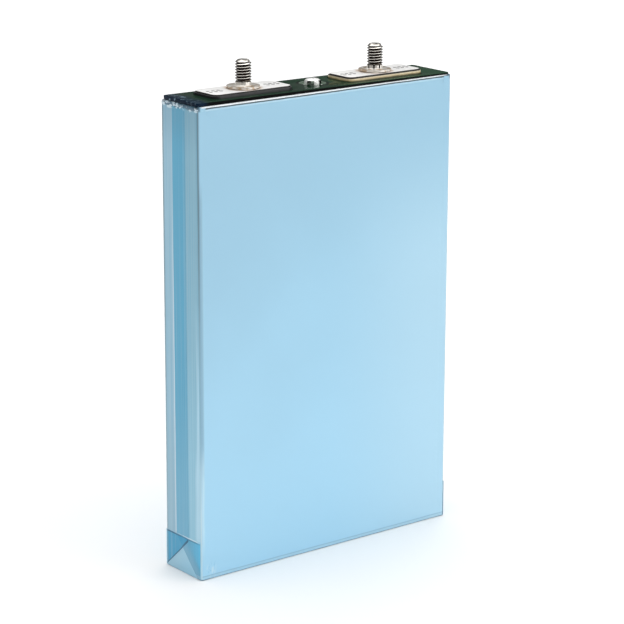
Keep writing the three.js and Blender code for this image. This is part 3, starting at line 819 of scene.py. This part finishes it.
def loft(rings):
    """Vertices and faces of a closed skin through rings that all have the same number of points."""
    count = len(rings[0])
    vertices = [point for ring in rings for point in ring]
    faces = []
    for row in range(len(rings) - 1):
        for column in range(count):
            a = row * count + column
            b = row * count + (column + 1) % count
            faces.append((a, b, b + count, a + count))
    return vertices, faces + end_faces(count, len(rings))


def shell(outer, inner):
    """A closed thin sheet between two grids of points with the same rows and columns."""
    rows, columns = len(outer), len(outer[0])
    vertices = [p for row in outer for p in row] + [p for row in inner for p in row]
    under = rows * columns
    faces = []
    for i in range(rows - 1):
        for j in range(columns - 1):
            a = i * columns + j
            quad = (a, a + 1, a + columns + 1, a + columns)
            faces.append(quad)
            faces.append(tuple(under + corner for corner in reversed(quad)))
    border = list(range(columns))
    border += [i * columns + columns - 1 for i in range(1, rows)]
    border += [(rows - 1) * columns + j for j in range(columns - 2, -1, -1)]
    border += [i * columns for i in range(rows - 2, 0, -1)]
    for here, there in zip(border, border[1:] + border[:1]):
        faces.append((here, here + under, there + under, there))
    return vertices, faces


def stations(low, high, fine, coarse, margin):
    """Positions from low to high, set close together within a margin of each end."""
    close = round(margin / fine)
    near = [low + margin * step / close for step in range(close)]
    far = [high - margin * step / close for step in range(close - 1, -1, -1)]
    wide = max(1, round((high - low - 2 * margin) / coarse))
    middle = [low + margin + (high - low - 2 * margin) * step / wide for step in range(wide + 1)]
    return near + middle + far


def smooth_step(value, low, high):
    share = min(max((value - low) / (high - low), 0.0), 1.0)
    return share * share * (3 - 2 * share)


def ridge(value, centre, width):
    """One at the centre, falling off smoothly over about the width."""
    return math.exp(-((value - centre) / width) ** 2)


# ---------------------------------------------------------------- the wrapped film

FILM_LAYER = 0.055 * MM
FILM_SHEET = 0.045 * MM
WRAP_HALF_X = can_high.x + 0.06 * MM
WRAP_HALF_Y = film_high.y - 0.05 * MM
WRAP_RADIUS = 1.2 * MM
WRAP_FLOOR = 0.05 * MM
FLOOR_RADIUS = 0.5 * MM
WRAP_TOP = film_high.z - 0.02 * MM
EDGE_STEPS = 8
LIP_REACH = 1.4 * MM
RIM_BEAD = 0.35 * MM
# Everything that the film does stays inside the CAD film's outline.
FILM_LIMIT = (film_high.x - 0.005 * MM, film_high.y - 0.005 * MM, film_high.z)


def inside_limit(point):
    """The point, drawn in to the film's outline where it would pass it."""
    x, y, z = (max(-limit, min(limit, part)) for limit, part in zip(FILM_LIMIT, point))
    return Vector((x, y, max(z, 0.0)))


def wrap_ring(inset, height, relief=1.0, crumple=0.0):
    """One level ring of the wrap, moved in from its outline."""
    half_x, half_y = WRAP_HALF_X - inset, WRAP_HALF_Y - inset
    radius = max(WRAP_RADIUS - inset, 0.2 * MM)
    flat_x, flat_y = half_x - radius, half_y - radius
    along_x = stations(-flat_x, flat_x, 0.35 * MM, 1.6 * MM, 9 * MM)
    along_y = stations(-flat_y, flat_y, 0.3 * MM, 0.3 * MM, 4 * MM)
    points = []

    def add(x, y, normal_x, normal_y):
        depth = wrap_relief(x, y, height) * relief
        drop = rim_crumple(x, y) * crumple
        points.append(inside_limit((x + normal_x * depth, y + normal_y * depth, height - drop)))

    def corner(centre_x, centre_y, start):
        for step in range(1, EDGE_STEPS):
            angle = start + math.pi / 2 * step / EDGE_STEPS
            away_x, away_y = math.cos(angle), math.sin(angle)
            add(centre_x + radius * away_x, centre_y + radius * away_y, away_x, away_y)

    for x in along_x:
        add(x, -half_y, 0.0, -1.0)
    corner(flat_x, -flat_y, -math.pi / 2)
    for y in along_y:
        add(half_x, y, 1.0, 0.0)
    corner(flat_x, flat_y, 0.0)
    for x in reversed(along_x):
        add(x, half_y, 0.0, 1.0)
    corner(-flat_x, flat_y, math.pi / 2)
    for y in reversed(along_y):
        add(-half_x, y, -1.0, 0.0)
    corner(-flat_x, -flat_y, math.pi)
    return points


def rim_crumple(x, y):
    """How far the rim is pressed down: little along the wide faces, crumpled over the narrow sides."""
    on_side = smooth_step(abs(x), WRAP_HALF_X - 3.5 * MM, WRAP_HALF_X - 0.8 * MM)
    fine = noise.noise(Vector((x * 500, y * 750, 4.0)))
    broad = noise.noise(Vector((x * 160, y * 260, 9.0)))
    side_drop = (0.5 + 0.5 * math.sin(6.0 * fine + 5.0 * broad)) * 0.2 * MM
    return (1 - on_side) * (0.5 + broad) * 0.02 * MM + on_side * side_drop


def wrap_relief(x, y, z):
    """Outward shift of the film: slow waves, creases by the upright edges, a crease under the lip, and
    small folds fanning out of the lower corners."""
    on_face = smooth_step(abs(y), WRAP_HALF_Y - WRAP_RADIUS, WRAP_HALF_Y - 0.3 * WRAP_RADIUS)
    waves = noise.noise(Vector((x * 70, y * 20 + 5.0, z * 45))) * 0.012 * MM
    wander = noise.noise(Vector((3.0, y * 9, z * 26))) * 0.9 * MM
    from_edge = WRAP_HALF_X - abs(x)
    near_top = film_high.z - z
    strength = 0.035 * MM * (0.4 + 0.6 * smooth_step(z, 90 * MM, 120 * MM))
    by_edge = ridge(from_edge, 2.0 * MM + wander, 0.3 * MM)
    further_in = ridge(from_edge, 4.2 * MM - wander, 0.5 * MM)
    creases = strength * (by_edge + 0.6 * further_in)
    pulled = 0.1 * MM * ridge(near_top, CREASE_BELOW_RIM, 0.2 * MM)
    pulled -= 0.03 * MM * ridge(near_top, 1.35 * MM, 0.3 * MM)
    reach = math.hypot(from_edge - 1.5 * MM, z - 1.5 * MM)
    angle = math.atan2(z - 0.5 * MM, from_edge - 0.5 * MM)
    fan = math.sin(angle * 15 + reach * 300) - 0.4
    fan *= smooth_step(reach, 1.5 * MM, 3 * MM) * ridge(reach, 4 * MM, 4 * MM)
    return on_face * (waves - creases - pulled + fan * 0.05 * MM)


def make_wrap(material):
    """The film as one closed shell: floor, walls, rolled rim and lip, and back down inside."""
    edge, bead, inner = FLOOR_RADIUS, RIM_BEAD, FILM_SHEET
    rings = [wrap_ring(edge * 3, WRAP_FLOOR, 0.0)]
    for step in range(5):
        angle = math.pi / 2 * step / 4
        inset, rise = edge * (1 - math.sin(angle)), edge * (1 - math.cos(angle))
        rings.append(wrap_ring(inset, WRAP_FLOOR + rise, 0.5 * step / 4))
    levels = stations(WRAP_FLOOR + edge * 1.6, 16 * MM, 0.4 * MM, 0.5 * MM, 6 * MM)
    levels += stations(18 * MM, WRAP_TOP - 3.2 * MM, 2 * MM, 4 * MM, 10 * MM)
    rings += [wrap_ring(0.0, z) for z in levels]
    rim_steps = 30
    rim_start, rim_end = WRAP_TOP - 3.0 * MM, WRAP_TOP - bead - 0.04 * MM
    for step in range(rim_steps + 1):
        share = step / rim_steps
        height = rim_start + (rim_end - rim_start) * share
        rings.append(wrap_ring(0.0, height, 1.0, max(0.0, share * 2 - 1)))
    for step in range(1, 7):
        angle = math.pi / 2 * step / 6
        inset, drop = bead * (1 - math.cos(angle)), bead * (1 - math.sin(angle))
        rings.append(wrap_ring(inset, WRAP_TOP - drop, 1 - step / 6, 1.0))
    for step in (1, 2, 3):
        inset = bead + (LIP_REACH - bead) * step / 3
        rings.append(wrap_ring(inset, WRAP_TOP - 0.01 * MM * step, 0.0, 1.0 - 0.3 * step))
    rings.append(wrap_ring(LIP_REACH, WRAP_TOP - 0.03 * MM - inner, 0.0, 0.1))
    rings.append(wrap_ring(bead + inner, WRAP_TOP - inner, 0.0, 1.0))
    rings.append(wrap_ring(inner, WRAP_TOP - bead - inner, 0.0, 1.0))
    rings.append(wrap_ring(inner, WRAP_FLOOR + edge, 0.0))
    rings.append(wrap_ring(edge * 3, WRAP_FLOOR + inner, 0.0))
    return make_object("film_wrap", *loft(rings), material, FILM_SMOOTH_ANGLE)


# The end of the wrap is folded like a parcel: a bottom flap folded up, a front flap and a rear flap.
FLAP_FREE_FRONT = 4.24 * MM
FLAP_FREE_REAR = -3.29 * MM
FOLD_HEIGHT = 14.2 * MM
FOLD_FRONT_START = -9.35 * MM
FOLD_FRONT_SLOPE = 1.026
FOLD_REAR_SLOPE = 0.897
FOLD_STEP = 0.3 * MM
FLAP_START = 2.5 * MM
FLAP_LOW = 0.4 * MM
TUCKED_LAYERS = 1.5


def front_fold(y):
    """Height of the front flap's mitred lower edge."""
    return (y - FOLD_FRONT_START) * FOLD_FRONT_SLOPE


def rear_fold(y):
    """Height of the rear flap's mitred lower edge."""
    return (film_high.y - y) * FOLD_REAR_SLOPE


def stacked_under(y, z, over_front):
    """How many layers lie under a flap at a point of the narrow side."""
    count = TUCKED_LAYERS * (1.0 - smooth_step(z, FOLD_HEIGHT - FOLD_STEP / 2, FOLD_HEIGHT + FOLD_STEP / 2))
    if over_front:
        covered = 1.0 - smooth_step(y, FLAP_FREE_FRONT - FOLD_STEP / 2, FLAP_FREE_FRONT + FOLD_STEP / 2)
        above = smooth_step(z - front_fold(y), -FOLD_STEP / 2, FOLD_STEP / 2)
        count += covered * above
    return count


def flap_wave(side, x, y, z, top):
    """Slow waves down a flap, with crumples under the rim."""
    wave = noise.noise(Vector((side * 7.0 + x * 10, y * 140, z * 9))) * 0.014 * MM
    upright = noise.noise(Vector((side * 3.0, y * 420, z * 7))) * 0.006 * MM
    crumple = noise.noise(Vector((side * 3.0, y * 420, z * 300))) * 0.05 * MM
    return wave + upright + crumple * ridge(top - z, 0.0, 2.2 * MM)


def over_edge(distance, radius):
    """A sheet's way over a rounded edge onto a narrow side, in a plane square to the edge.

    The distance is counted from where the edge's round starts. The result is x, how far the point lies
    from the round's axis towards the first face, and the outward direction's parts along these two.
    """
    centre_x = WRAP_HALF_X - radius
    quarter = math.pi / 2 * radius
    if distance < 0:
        return centre_x + distance, radius, 0.0, 1.0
    if distance < quarter:
        away_x, away = math.sin(distance / radius), math.cos(distance / radius)
        return centre_x + radius * away_x, radius * away, away_x, away
    return WRAP_HALF_X, quarter - distance, 1.0, 0.0


def off_skin(side, point, away, distance):
    """A point at a distance outward from the can's skin, on either narrow side."""
    x, y, z = (start + part * distance for start, part in zip(point, away))
    return inside_limit((side * x, y, z))


def film_sheet(name, side, columns, material):
    """A thin closed sheet. Each point of a column comes with the way outward and with how far out the
    sheet's outer and inner faces lie."""
    outer = [[off_skin(side, point, away, out) for point, away, out, under in rows] for rows in columns]
    inner = [[off_skin(side, point, away, under) for point, away, out, under in rows] for rows in columns]
    return make_object(name, *shell(outer, inner), material, FILM_SMOOTH_ANGLE)


def make_flap(name, side, toward, free_edge, fold, over_front, material):
    """A full-height flap that comes round an upright edge from a wide face.

    side is -1 or 1 for the narrow side, and toward is -1 for the flap that comes from the front.
    """
    quarter = math.pi / 2 * WRAP_RADIUS
    flat_y = WRAP_HALF_Y - WRAP_RADIUS
    reach = abs(free_edge - toward * flat_y)
    distances = [-FLAP_START * (1 - step / 5) for step in range(5)]
    distances += [quarter * step / EDGE_STEPS for step in range(EDGE_STEPS)]
    distances += [quarter + d for d in stations(0.0, reach, 0.16 * MM, 0.4 * MM, 1.4 * MM)]
    top = WRAP_TOP - RIM_BEAD - 0.1 * MM
    fold_end = FOLD_HEIGHT + 1.5 * MM
    upper = stations(fold_end, top, 0.35 * MM, 3 * MM, 5 * MM)
    lower_steps = 48
    columns = []
    for distance in distances:
        x, along, away_x, away_y = over_edge(distance, WRAP_RADIUS)
        y = (flat_y + along) * toward
        away = (away_x, away_y * toward, 0.0)
        low = FLAP_LOW if distance < quarter else max(FLAP_LOW, fold(y))
        low = min(low, FOLD_HEIGHT + 1.2 * MM)
        heights = [low + (fold_end - low) * step / lower_steps for step in range(lower_steps)] + upper
        risen = smooth_step(distance, -FLAP_START, quarter)
        rows = []
        for z in heights:
            stacked = stacked_under(y, z, over_front)
            lift = risen * (FILM_LAYER * (1 + stacked) + flap_wave(side, x, y, z, top)) + 0.008 * MM
            base = wrap_relief(x, y, z) * (1 - risen)
            level = base + lift
            rows.append(((x, y, z), away, level, max(level - FILM_SHEET, base + 0.003 * MM)))
        columns.append(rows)
    return film_sheet(name, side, columns, material)


def make_bottom_flap(name, side, material):
    """The flap that comes up round the bottom edge, under the other two."""
    half = WRAP_HALF_Y - 0.25 * MM
    quarter = math.pi / 2 * FLOOR_RADIUS
    flat_z = WRAP_FLOOR + FLOOR_RADIUS
    distances = [-3 * MM + 3 * MM * step / 4 for step in range(4)]
    distances += [quarter * step / 6 for step in range(6)]
    distances += [quarter + (FOLD_HEIGHT - flat_z) * step / 40 for step in range(41)]
    across = stations(-half, half, 0.3 * MM, 0.6 * MM, 2 * MM)
    columns = []
    for distance in distances:
        x, along, away_x, away_down = over_edge(distance, FLOOR_RADIUS)
        z = flat_z - along
        away = (away_x, 0.0, -away_down)
        rows = []
        for y in across:
            tuck = smooth_step(abs(y), half - 1.2 * MM, half) * 0.03 * MM
            wave = noise.noise(Vector((y * 160, z * 160, side * 4.0))) * 0.016 * MM * min(1.0, z / MM)
            level = FILM_LAYER * 1.2 - 0.01 * MM + wave - tuck
            rows.append(((x, y, z), away, level, max(level - FILM_SHEET, 0.005 * MM)))
        columns.append(rows)
    return film_sheet(name, side, columns, material)


# ---------------------------------------------------------------- hard pieces


def finish_edges(shape, width, segments):
    """Rounds every edge where two faces meet at more than 40 degrees."""
    bmesh.ops.remove_doubles(shape, verts=shape.verts, dist=1e-7)
    bmesh.ops.dissolve_limit(shape, angle_limit=math.radians(1), verts=shape.verts, edges=shape.edges)
    shared = [edge for edge in shape.edges if len(edge.link_faces) == 2]
    bmesh.ops.bevel(
        shape,
        geom=[edge for edge in shared if edge.calc_face_angle() > BEVEL_FROM_ANGLE],
        offset=width,
        segments=segments,
        profile=0.5,
        affect="EDGES",
        clamp_overlap=True,
    )
    bmesh.ops.recalc_face_normals(shape, faces=shape.faces)


def softened(name, node, width, material, slot):
    """A copy of a CAD node with its flat faces whole and its edges rounded."""
    mesh = frame["nodes"][node].data.copy()
    mesh.name = name
    reshape(mesh, lambda shape: finish_edges(shape, width, 3))
    dress(mesh, material, HARD_SMOOTH_ANGLE)
    return place_piece(add_to_scene(name, mesh), slot, node)


def lift_cover(piece):
    """The sheet doesn't lie quite flat: its top rises a little towards the positive end."""
    for vertex in piece.data.vertices:
        share = smooth_step(vertex.co.z, cover_high.z - 0.5 * MM, cover_high.z - 0.3 * MM)
        vertex.co.z += share * (COVER_RISE_MIDDLE - COVER_RISE_END * vertex.co.x / cover_high.x)


COVER_RISE_MIDDLE = 0.15 * MM
COVER_RISE_END = 0.35 * MM
THREAD_PITCH = 1.0 * MM
THREAD_MINOR = 2.387 * MM
THREAD_MAJOR = 3.0 * MM
# Share of the pitch and share of the thread depth, round the crest and the root.
THREAD_FORM = [
    (0.0, 0.0), (0.08, 0.0), (0.2, 0.03), (0.3, 0.2), (0.54, 0.92),
    (0.6, 1.0), (0.65, 1.0), (0.71, 0.92), (0.95, 0.12),
]
STUD_STEPS = 96
FLANGE_RADIUS = (stud_high.x - stud_low.x) / 2
FLANGE_HEIGHT = 0.9 * MM
COLLAR_RADIUS = 2.95 * MM
COLLAR_HEIGHT = 1.5 * MM
COLLAR_FLARE = 3.9 * MM
FLARE_HEIGHT = 0.5 * MM
COLLAR_NOTCHES = 8


def collar_profile(flange_top, low):
    """Radius and height up the flange and the collar, and how much of a notch each point takes."""
    bevel = 0.16 * MM
    top = flange_top + COLLAR_HEIGHT
    profile = [
        (FLANGE_RADIUS - bevel, low, 0.0),
        (FLANGE_RADIUS - bevel / 4, low + bevel / 2, 0.0),
        (FLANGE_RADIUS, low + bevel, 0.0),
        (FLANGE_RADIUS, flange_top - bevel, 0.0),
        (FLANGE_RADIUS - bevel / 4, flange_top - bevel / 4, 0.0),
        (FLANGE_RADIUS - bevel, flange_top, 0.0),
    ]
    for step in range(6):
        angle = math.pi / 2 * step / 5
        radius = COLLAR_FLARE - (COLLAR_FLARE - COLLAR_RADIUS) * math.sin(angle)
        profile.append((radius, flange_top + FLARE_HEIGHT * (1 - math.cos(angle)), step / 5))
    profile += [
        (COLLAR_RADIUS, top - 0.3 * MM, 1.0),
        (COLLAR_RADIUS - 0.06 * MM, top - 0.12 * MM, 0.6),
        (COLLAR_RADIUS - 0.25 * MM, top, 0.0),
    ]
    return profile


def turned(centre_x, reach, angle, height):
    """A point at an angle round an upright axis."""
    return Vector((centre_x + reach * math.cos(angle), reach * math.sin(angle), height))


def make_stud(name, node, centre_x, notch_depth, material):
    """Flange, notched collar, helical thread and crowned tip as one turned body."""
    low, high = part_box(node)
    flange_top = low.z + FLANGE_HEIGHT
    thread_start = flange_top + COLLAR_HEIGHT
    thread_end = high.z - 0.5 * MM
    base = collar_profile(flange_top, low.z)
    turns = math.ceil((thread_end - thread_start) / THREAD_PITCH)
    rows = [
        (share, thread_start + (turn + start) * THREAD_PITCH)
        for turn in range(-1, turns)
        for start, share in THREAD_FORM
    ]
    rows.append((0.0, thread_start + turns * THREAD_PITCH))
    tip = [
        (2.34 * MM, thread_end + 0.1 * MM),
        (2.1 * MM, high.z - 0.16 * MM),
        (1.85 * MM, high.z - 0.05 * MM),
        (1.5 * MM, high.z),
        (0.7 * MM, high.z),
    ]
    angles = [2 * math.pi * step / STUD_STEPS for step in range(STUD_STEPS)]

    def level_ring(radius, height, notch=0.0):
        ring = []
        for angle in angles:
            cut_in = notch * smooth_step(math.cos(angle * COLLAR_NOTCHES), 0.35, 0.9)
            ring.append(turned(centre_x, radius - cut_in, angle, height))
        return ring

    rings = [level_ring(radius, height, notch_depth * share) for radius, height, share in base]
    for share, height in rows:
        ring = []
        for step, angle in enumerate(angles):
            raised = height + THREAD_PITCH * step / STUD_STEPS
            z = min(max(raised, thread_start), thread_end)
            full = min(min(z - thread_start, thread_end - z) / (0.5 * MM), 1.0)
            reach = THREAD_MINOR + (THREAD_MAJOR - THREAD_MINOR) * share * full
            ring.append(turned(centre_x, reach, angle, z))
        rings.append(ring)
    rings += [level_ring(radius, height) for radius, height in tip]
    vertices, faces = stud_skin(rings, len(base), len(rows), len(THREAD_FORM))
    piece = make_object(name, vertices, faces, material, THREAD_SMOOTH_ANGLE)
    place_piece(piece, "stud_steel", node)


def stud_skin(rings, first_row, row_count, rows_per_turn):
    """Faces through the rings. At the seam each thread row runs on into the one a turn above."""
    count = STUD_STEPS
    last_row = first_row + row_count - 1
    vertices = [point for ring in rings for point in ring]
    seam_start = len(vertices)
    # The seam's far side stands a whole pitch higher, so it has points of its own.
    for row in range(first_row, last_row + 1):
        start = vertices[row * count]
        target = min(row + rows_per_turn, last_row)
        vertices.append(vertices[target * count].copy() if target > row else start.copy())
    faces = []
    for row in range(len(rings) - 1):
        threaded = first_row <= row < last_row
        for column in range(count):
            a, a_up = row * count + column, (row + 1) * count + column
            if column < count - 1:
                b, b_up = a + 1, a_up + 1
            elif threaded:
                b, b_up = seam_start + row - first_row, seam_start + row + 1 - first_row
            else:
                b, b_up = row * count, (row + 1) * count
            faces.append((a, b, b_up, a_up))
    return vertices, faces + end_faces(count, len(rings))


VENT_X = (vent_low.x + vent_high.x) / 2
VENT_FLANGE = (vent_high.x - vent_low.x) / 2
VENT_OPENING = 4.7 * MM
VENT_DOME = 3.15 * MM
VENT_WALL = 0.35 * MM
VENT_CROWN_REACH = 2.2 * MM
VENT_CROWN_RISE = 1.3 * MM
VENT_CROWN_STEPS = 12
VENT_WINDOW = 2.6 * MM
VENT_WINDOW_LOW = 0.55 * MM
VENT_WINDOW_HIGH = 2.4 * MM
VENT_TURN = math.radians(37)
VENT_STEPS = 96


def vent_cup():
    """The cap's turned shape as a bmesh, about the Z axis: a flange, a wall and a dome."""
    low, high = vent_low.z, vent_high.z

    def crown(inset):
        reach, rise = VENT_CROWN_REACH - inset, VENT_CROWN_RISE - inset
        start, foot = VENT_DOME - VENT_CROWN_REACH, high - VENT_CROWN_RISE
        angles = [math.pi / 2 * step / VENT_CROWN_STEPS for step in range(VENT_CROWN_STEPS + 1)]
        return [(start + reach * math.cos(angle), foot + rise * math.sin(angle)) for angle in angles]

    outside = [(VENT_FLANGE, low), (VENT_FLANGE, low + VENT_WALL), (VENT_DOME + 0.25 * MM, low + VENT_WALL)]
    outside += [(VENT_DOME, low + VENT_WALL + 0.25 * MM)] + crown(0.0) + [(0.0, high)]
    inside = [(VENT_DOME - VENT_WALL, low)] + crown(VENT_WALL) + [(0.0, high - VENT_WALL)]
    shape = bmesh.new()
    profile = outside + inside[::-1]
    verts = [shape.verts.new((radius, 0.0, height)) for radius, height in profile]
    edges = [shape.edges.new(pair) for pair in zip(verts, verts[1:] + verts[:1])]
    bmesh.ops.spin(
        shape,
        geom=verts + edges,
        cent=(0, 0, 0),
        axis=(0, 0, 1),
        angle=2 * math.pi,
        steps=VENT_STEPS,
        use_merge=True,
    )
    bmesh.ops.remove_doubles(shape, verts=shape.verts, dist=1e-7)
    loose = [edge for edge in shape.edges if not edge.link_faces]
    bmesh.ops.delete(shape, geom=loose, context="EDGES")
    bmesh.ops.recalc_face_normals(shape, faces=shape.faces)
    bmesh.ops.translate(shape, vec=(VENT_X, 0, 0), verts=shape.verts)
    return shape


def window_cutter(turn):
    """A bar through the cap that opens two windows."""
    shape = bmesh.new()
    bmesh.ops.create_cube(shape, size=1.0)
    height = VENT_WINDOW_HIGH - VENT_WINDOW_LOW
    middle = vent_low.z + (VENT_WINDOW_LOW + VENT_WINDOW_HIGH) / 2
    place = Matrix.Translation((VENT_X, 0, middle)) @ Matrix.Rotation(turn, 4, "Z")
    place = place @ Matrix.Diagonal((12 * MM, VENT_WINDOW, height, 1.0))
    bmesh.ops.transform(shape, matrix=place, verts=shape.verts)
    return shape


def object_from(shape, name):
    mesh = bpy.data.meshes.new(name)
    shape.to_mesh(mesh)
    shape.free()
    return add_to_scene(name, mesh)


def make_vent_cap(material):
    """A pressed cup with four windows in its wall."""
    piece = object_from(vent_cup(), "vent_cap_dome")
    cutters = [object_from(window_cutter(VENT_TURN + turn), "window_cutter") for turn in (0.0, math.pi / 2)]
    for cutter in cutters:
        cut = piece.modifiers.new("windows", "BOOLEAN")
        cut.operation = "DIFFERENCE"
        cut.solver = "EXACT"
        cut.object = cutter
    bpy.context.view_layer.update()
    mesh = bpy.data.meshes.new_from_object(piece.evaluated_get(bpy.context.evaluated_depsgraph_get()))
    piece.modifiers.clear()
    for cutter in cutters:
        bpy.data.objects.remove(cutter)
    reshape(mesh, lambda shape: finish_edges(shape, 0.05 * MM, 2))
    dress(mesh, material, HARD_SMOOTH_ANGLE)
    piece.data = mesh
    place_piece(piece, "bright_aluminium", "vent_cap")


# ---------------------------------------------------------------- the cell, put together

make_camera()
make_world()
make_floor()
area_light("key", azimuth=30, elevation=16, distance=1.6, size=(1.2, 0.8), power=7.5)
area_light(
    "backdrop", azimuth=141, elevation=40, distance=2.3, size=(1.4, 0.8), power=8, aim=(1.0, 1.3, 0.0)
)

place_piece(make_wrap(wrap_finish()), "film", "insulating_film")
for side, label in ((-1, "left"), (1, "right")):
    front_film = front_flap_finish(label)
    rear_film = rear_flap_finish(label)
    flaps = [
        make_bottom_flap(f"film_bottom_flap_{label}", side, bottom_flap_finish(label)),
        make_flap(f"film_front_flap_{label}", side, -1, FLAP_FREE_FRONT, front_fold, False, front_film),
        make_flap(f"film_rear_flap_{label}", side, 1, FLAP_FREE_REAR, rear_fold, True, rear_film),
    ]
    for flap in flaps:
        place_piece(flap, "film")

cover = softened("cover_sheet", "top_cover_sheet", 0.1 * MM, cover_finish(), "cover_sheet")
lift_cover(cover)

dark_block = plastic_finish("dark_insulator", DARK_PLASTIC, 0.4, 0.25).material
terminal_x = (stud_low.x + stud_high.x) / 2
for label, centre_x, block, block_slot, notch in (
    ("positive", terminal_x, dark_block, "dark_insulator", 0.12 * MM),
    ("negative", -terminal_x, amber_finish(), "amber_insulator", 0.38 * MM),
):
    plate = plate_finish(f"{label}_plate", centre_x)
    steel = stud_finish(f"{label}_stud", centre_x)
    softened(f"{label}_block", f"{label}_terminal_insulator", 0.12 * MM, block, block_slot)
    softened(f"{label}_plate", f"{label}_terminal_plate", 0.14 * MM, plate, "bright_aluminium")
    make_stud(f"{label}_threaded_stud", f"{label}_stud", centre_x, notch, steel)

make_vent_cap(vent_cap_finish())

hidden_finishes = {
    "aluminium": metal_finish("can_aluminium", (0.72, 0.72, 0.73), 0.35, (1.0, 1.0, 0.1)).material,
    "copper": metal_finish("copper", (0.72, 0.36, 0.22), 0.32).material,
    "inner_plastic": plastic_finish("inner_plastic", (0.78, 0.78, 0.75), 0.5, 0.06).material,
    "rubber": plastic_finish("rubber", (0.02, 0.02, 0.022), 0.75, 0.3).material,
    "electrode_roll": roll_finish("electrode_roll"),
    "roll_tape": plastic_finish("roll_tape", (0.06, 0.23, 0.12), 0.3, 0.15).material,
}
slot_of = {row["node"]: row["material_slot"] for row in frame["record"]["subparts"]}
for node, piece in frame["nodes"].items():
    if not piece.hide_render:
        piece.data.materials.clear()
        piece.data.materials.append(hidden_finishes[slot_of[node]])

bpy.context.scene.view_settings.view_transform = "Standard"
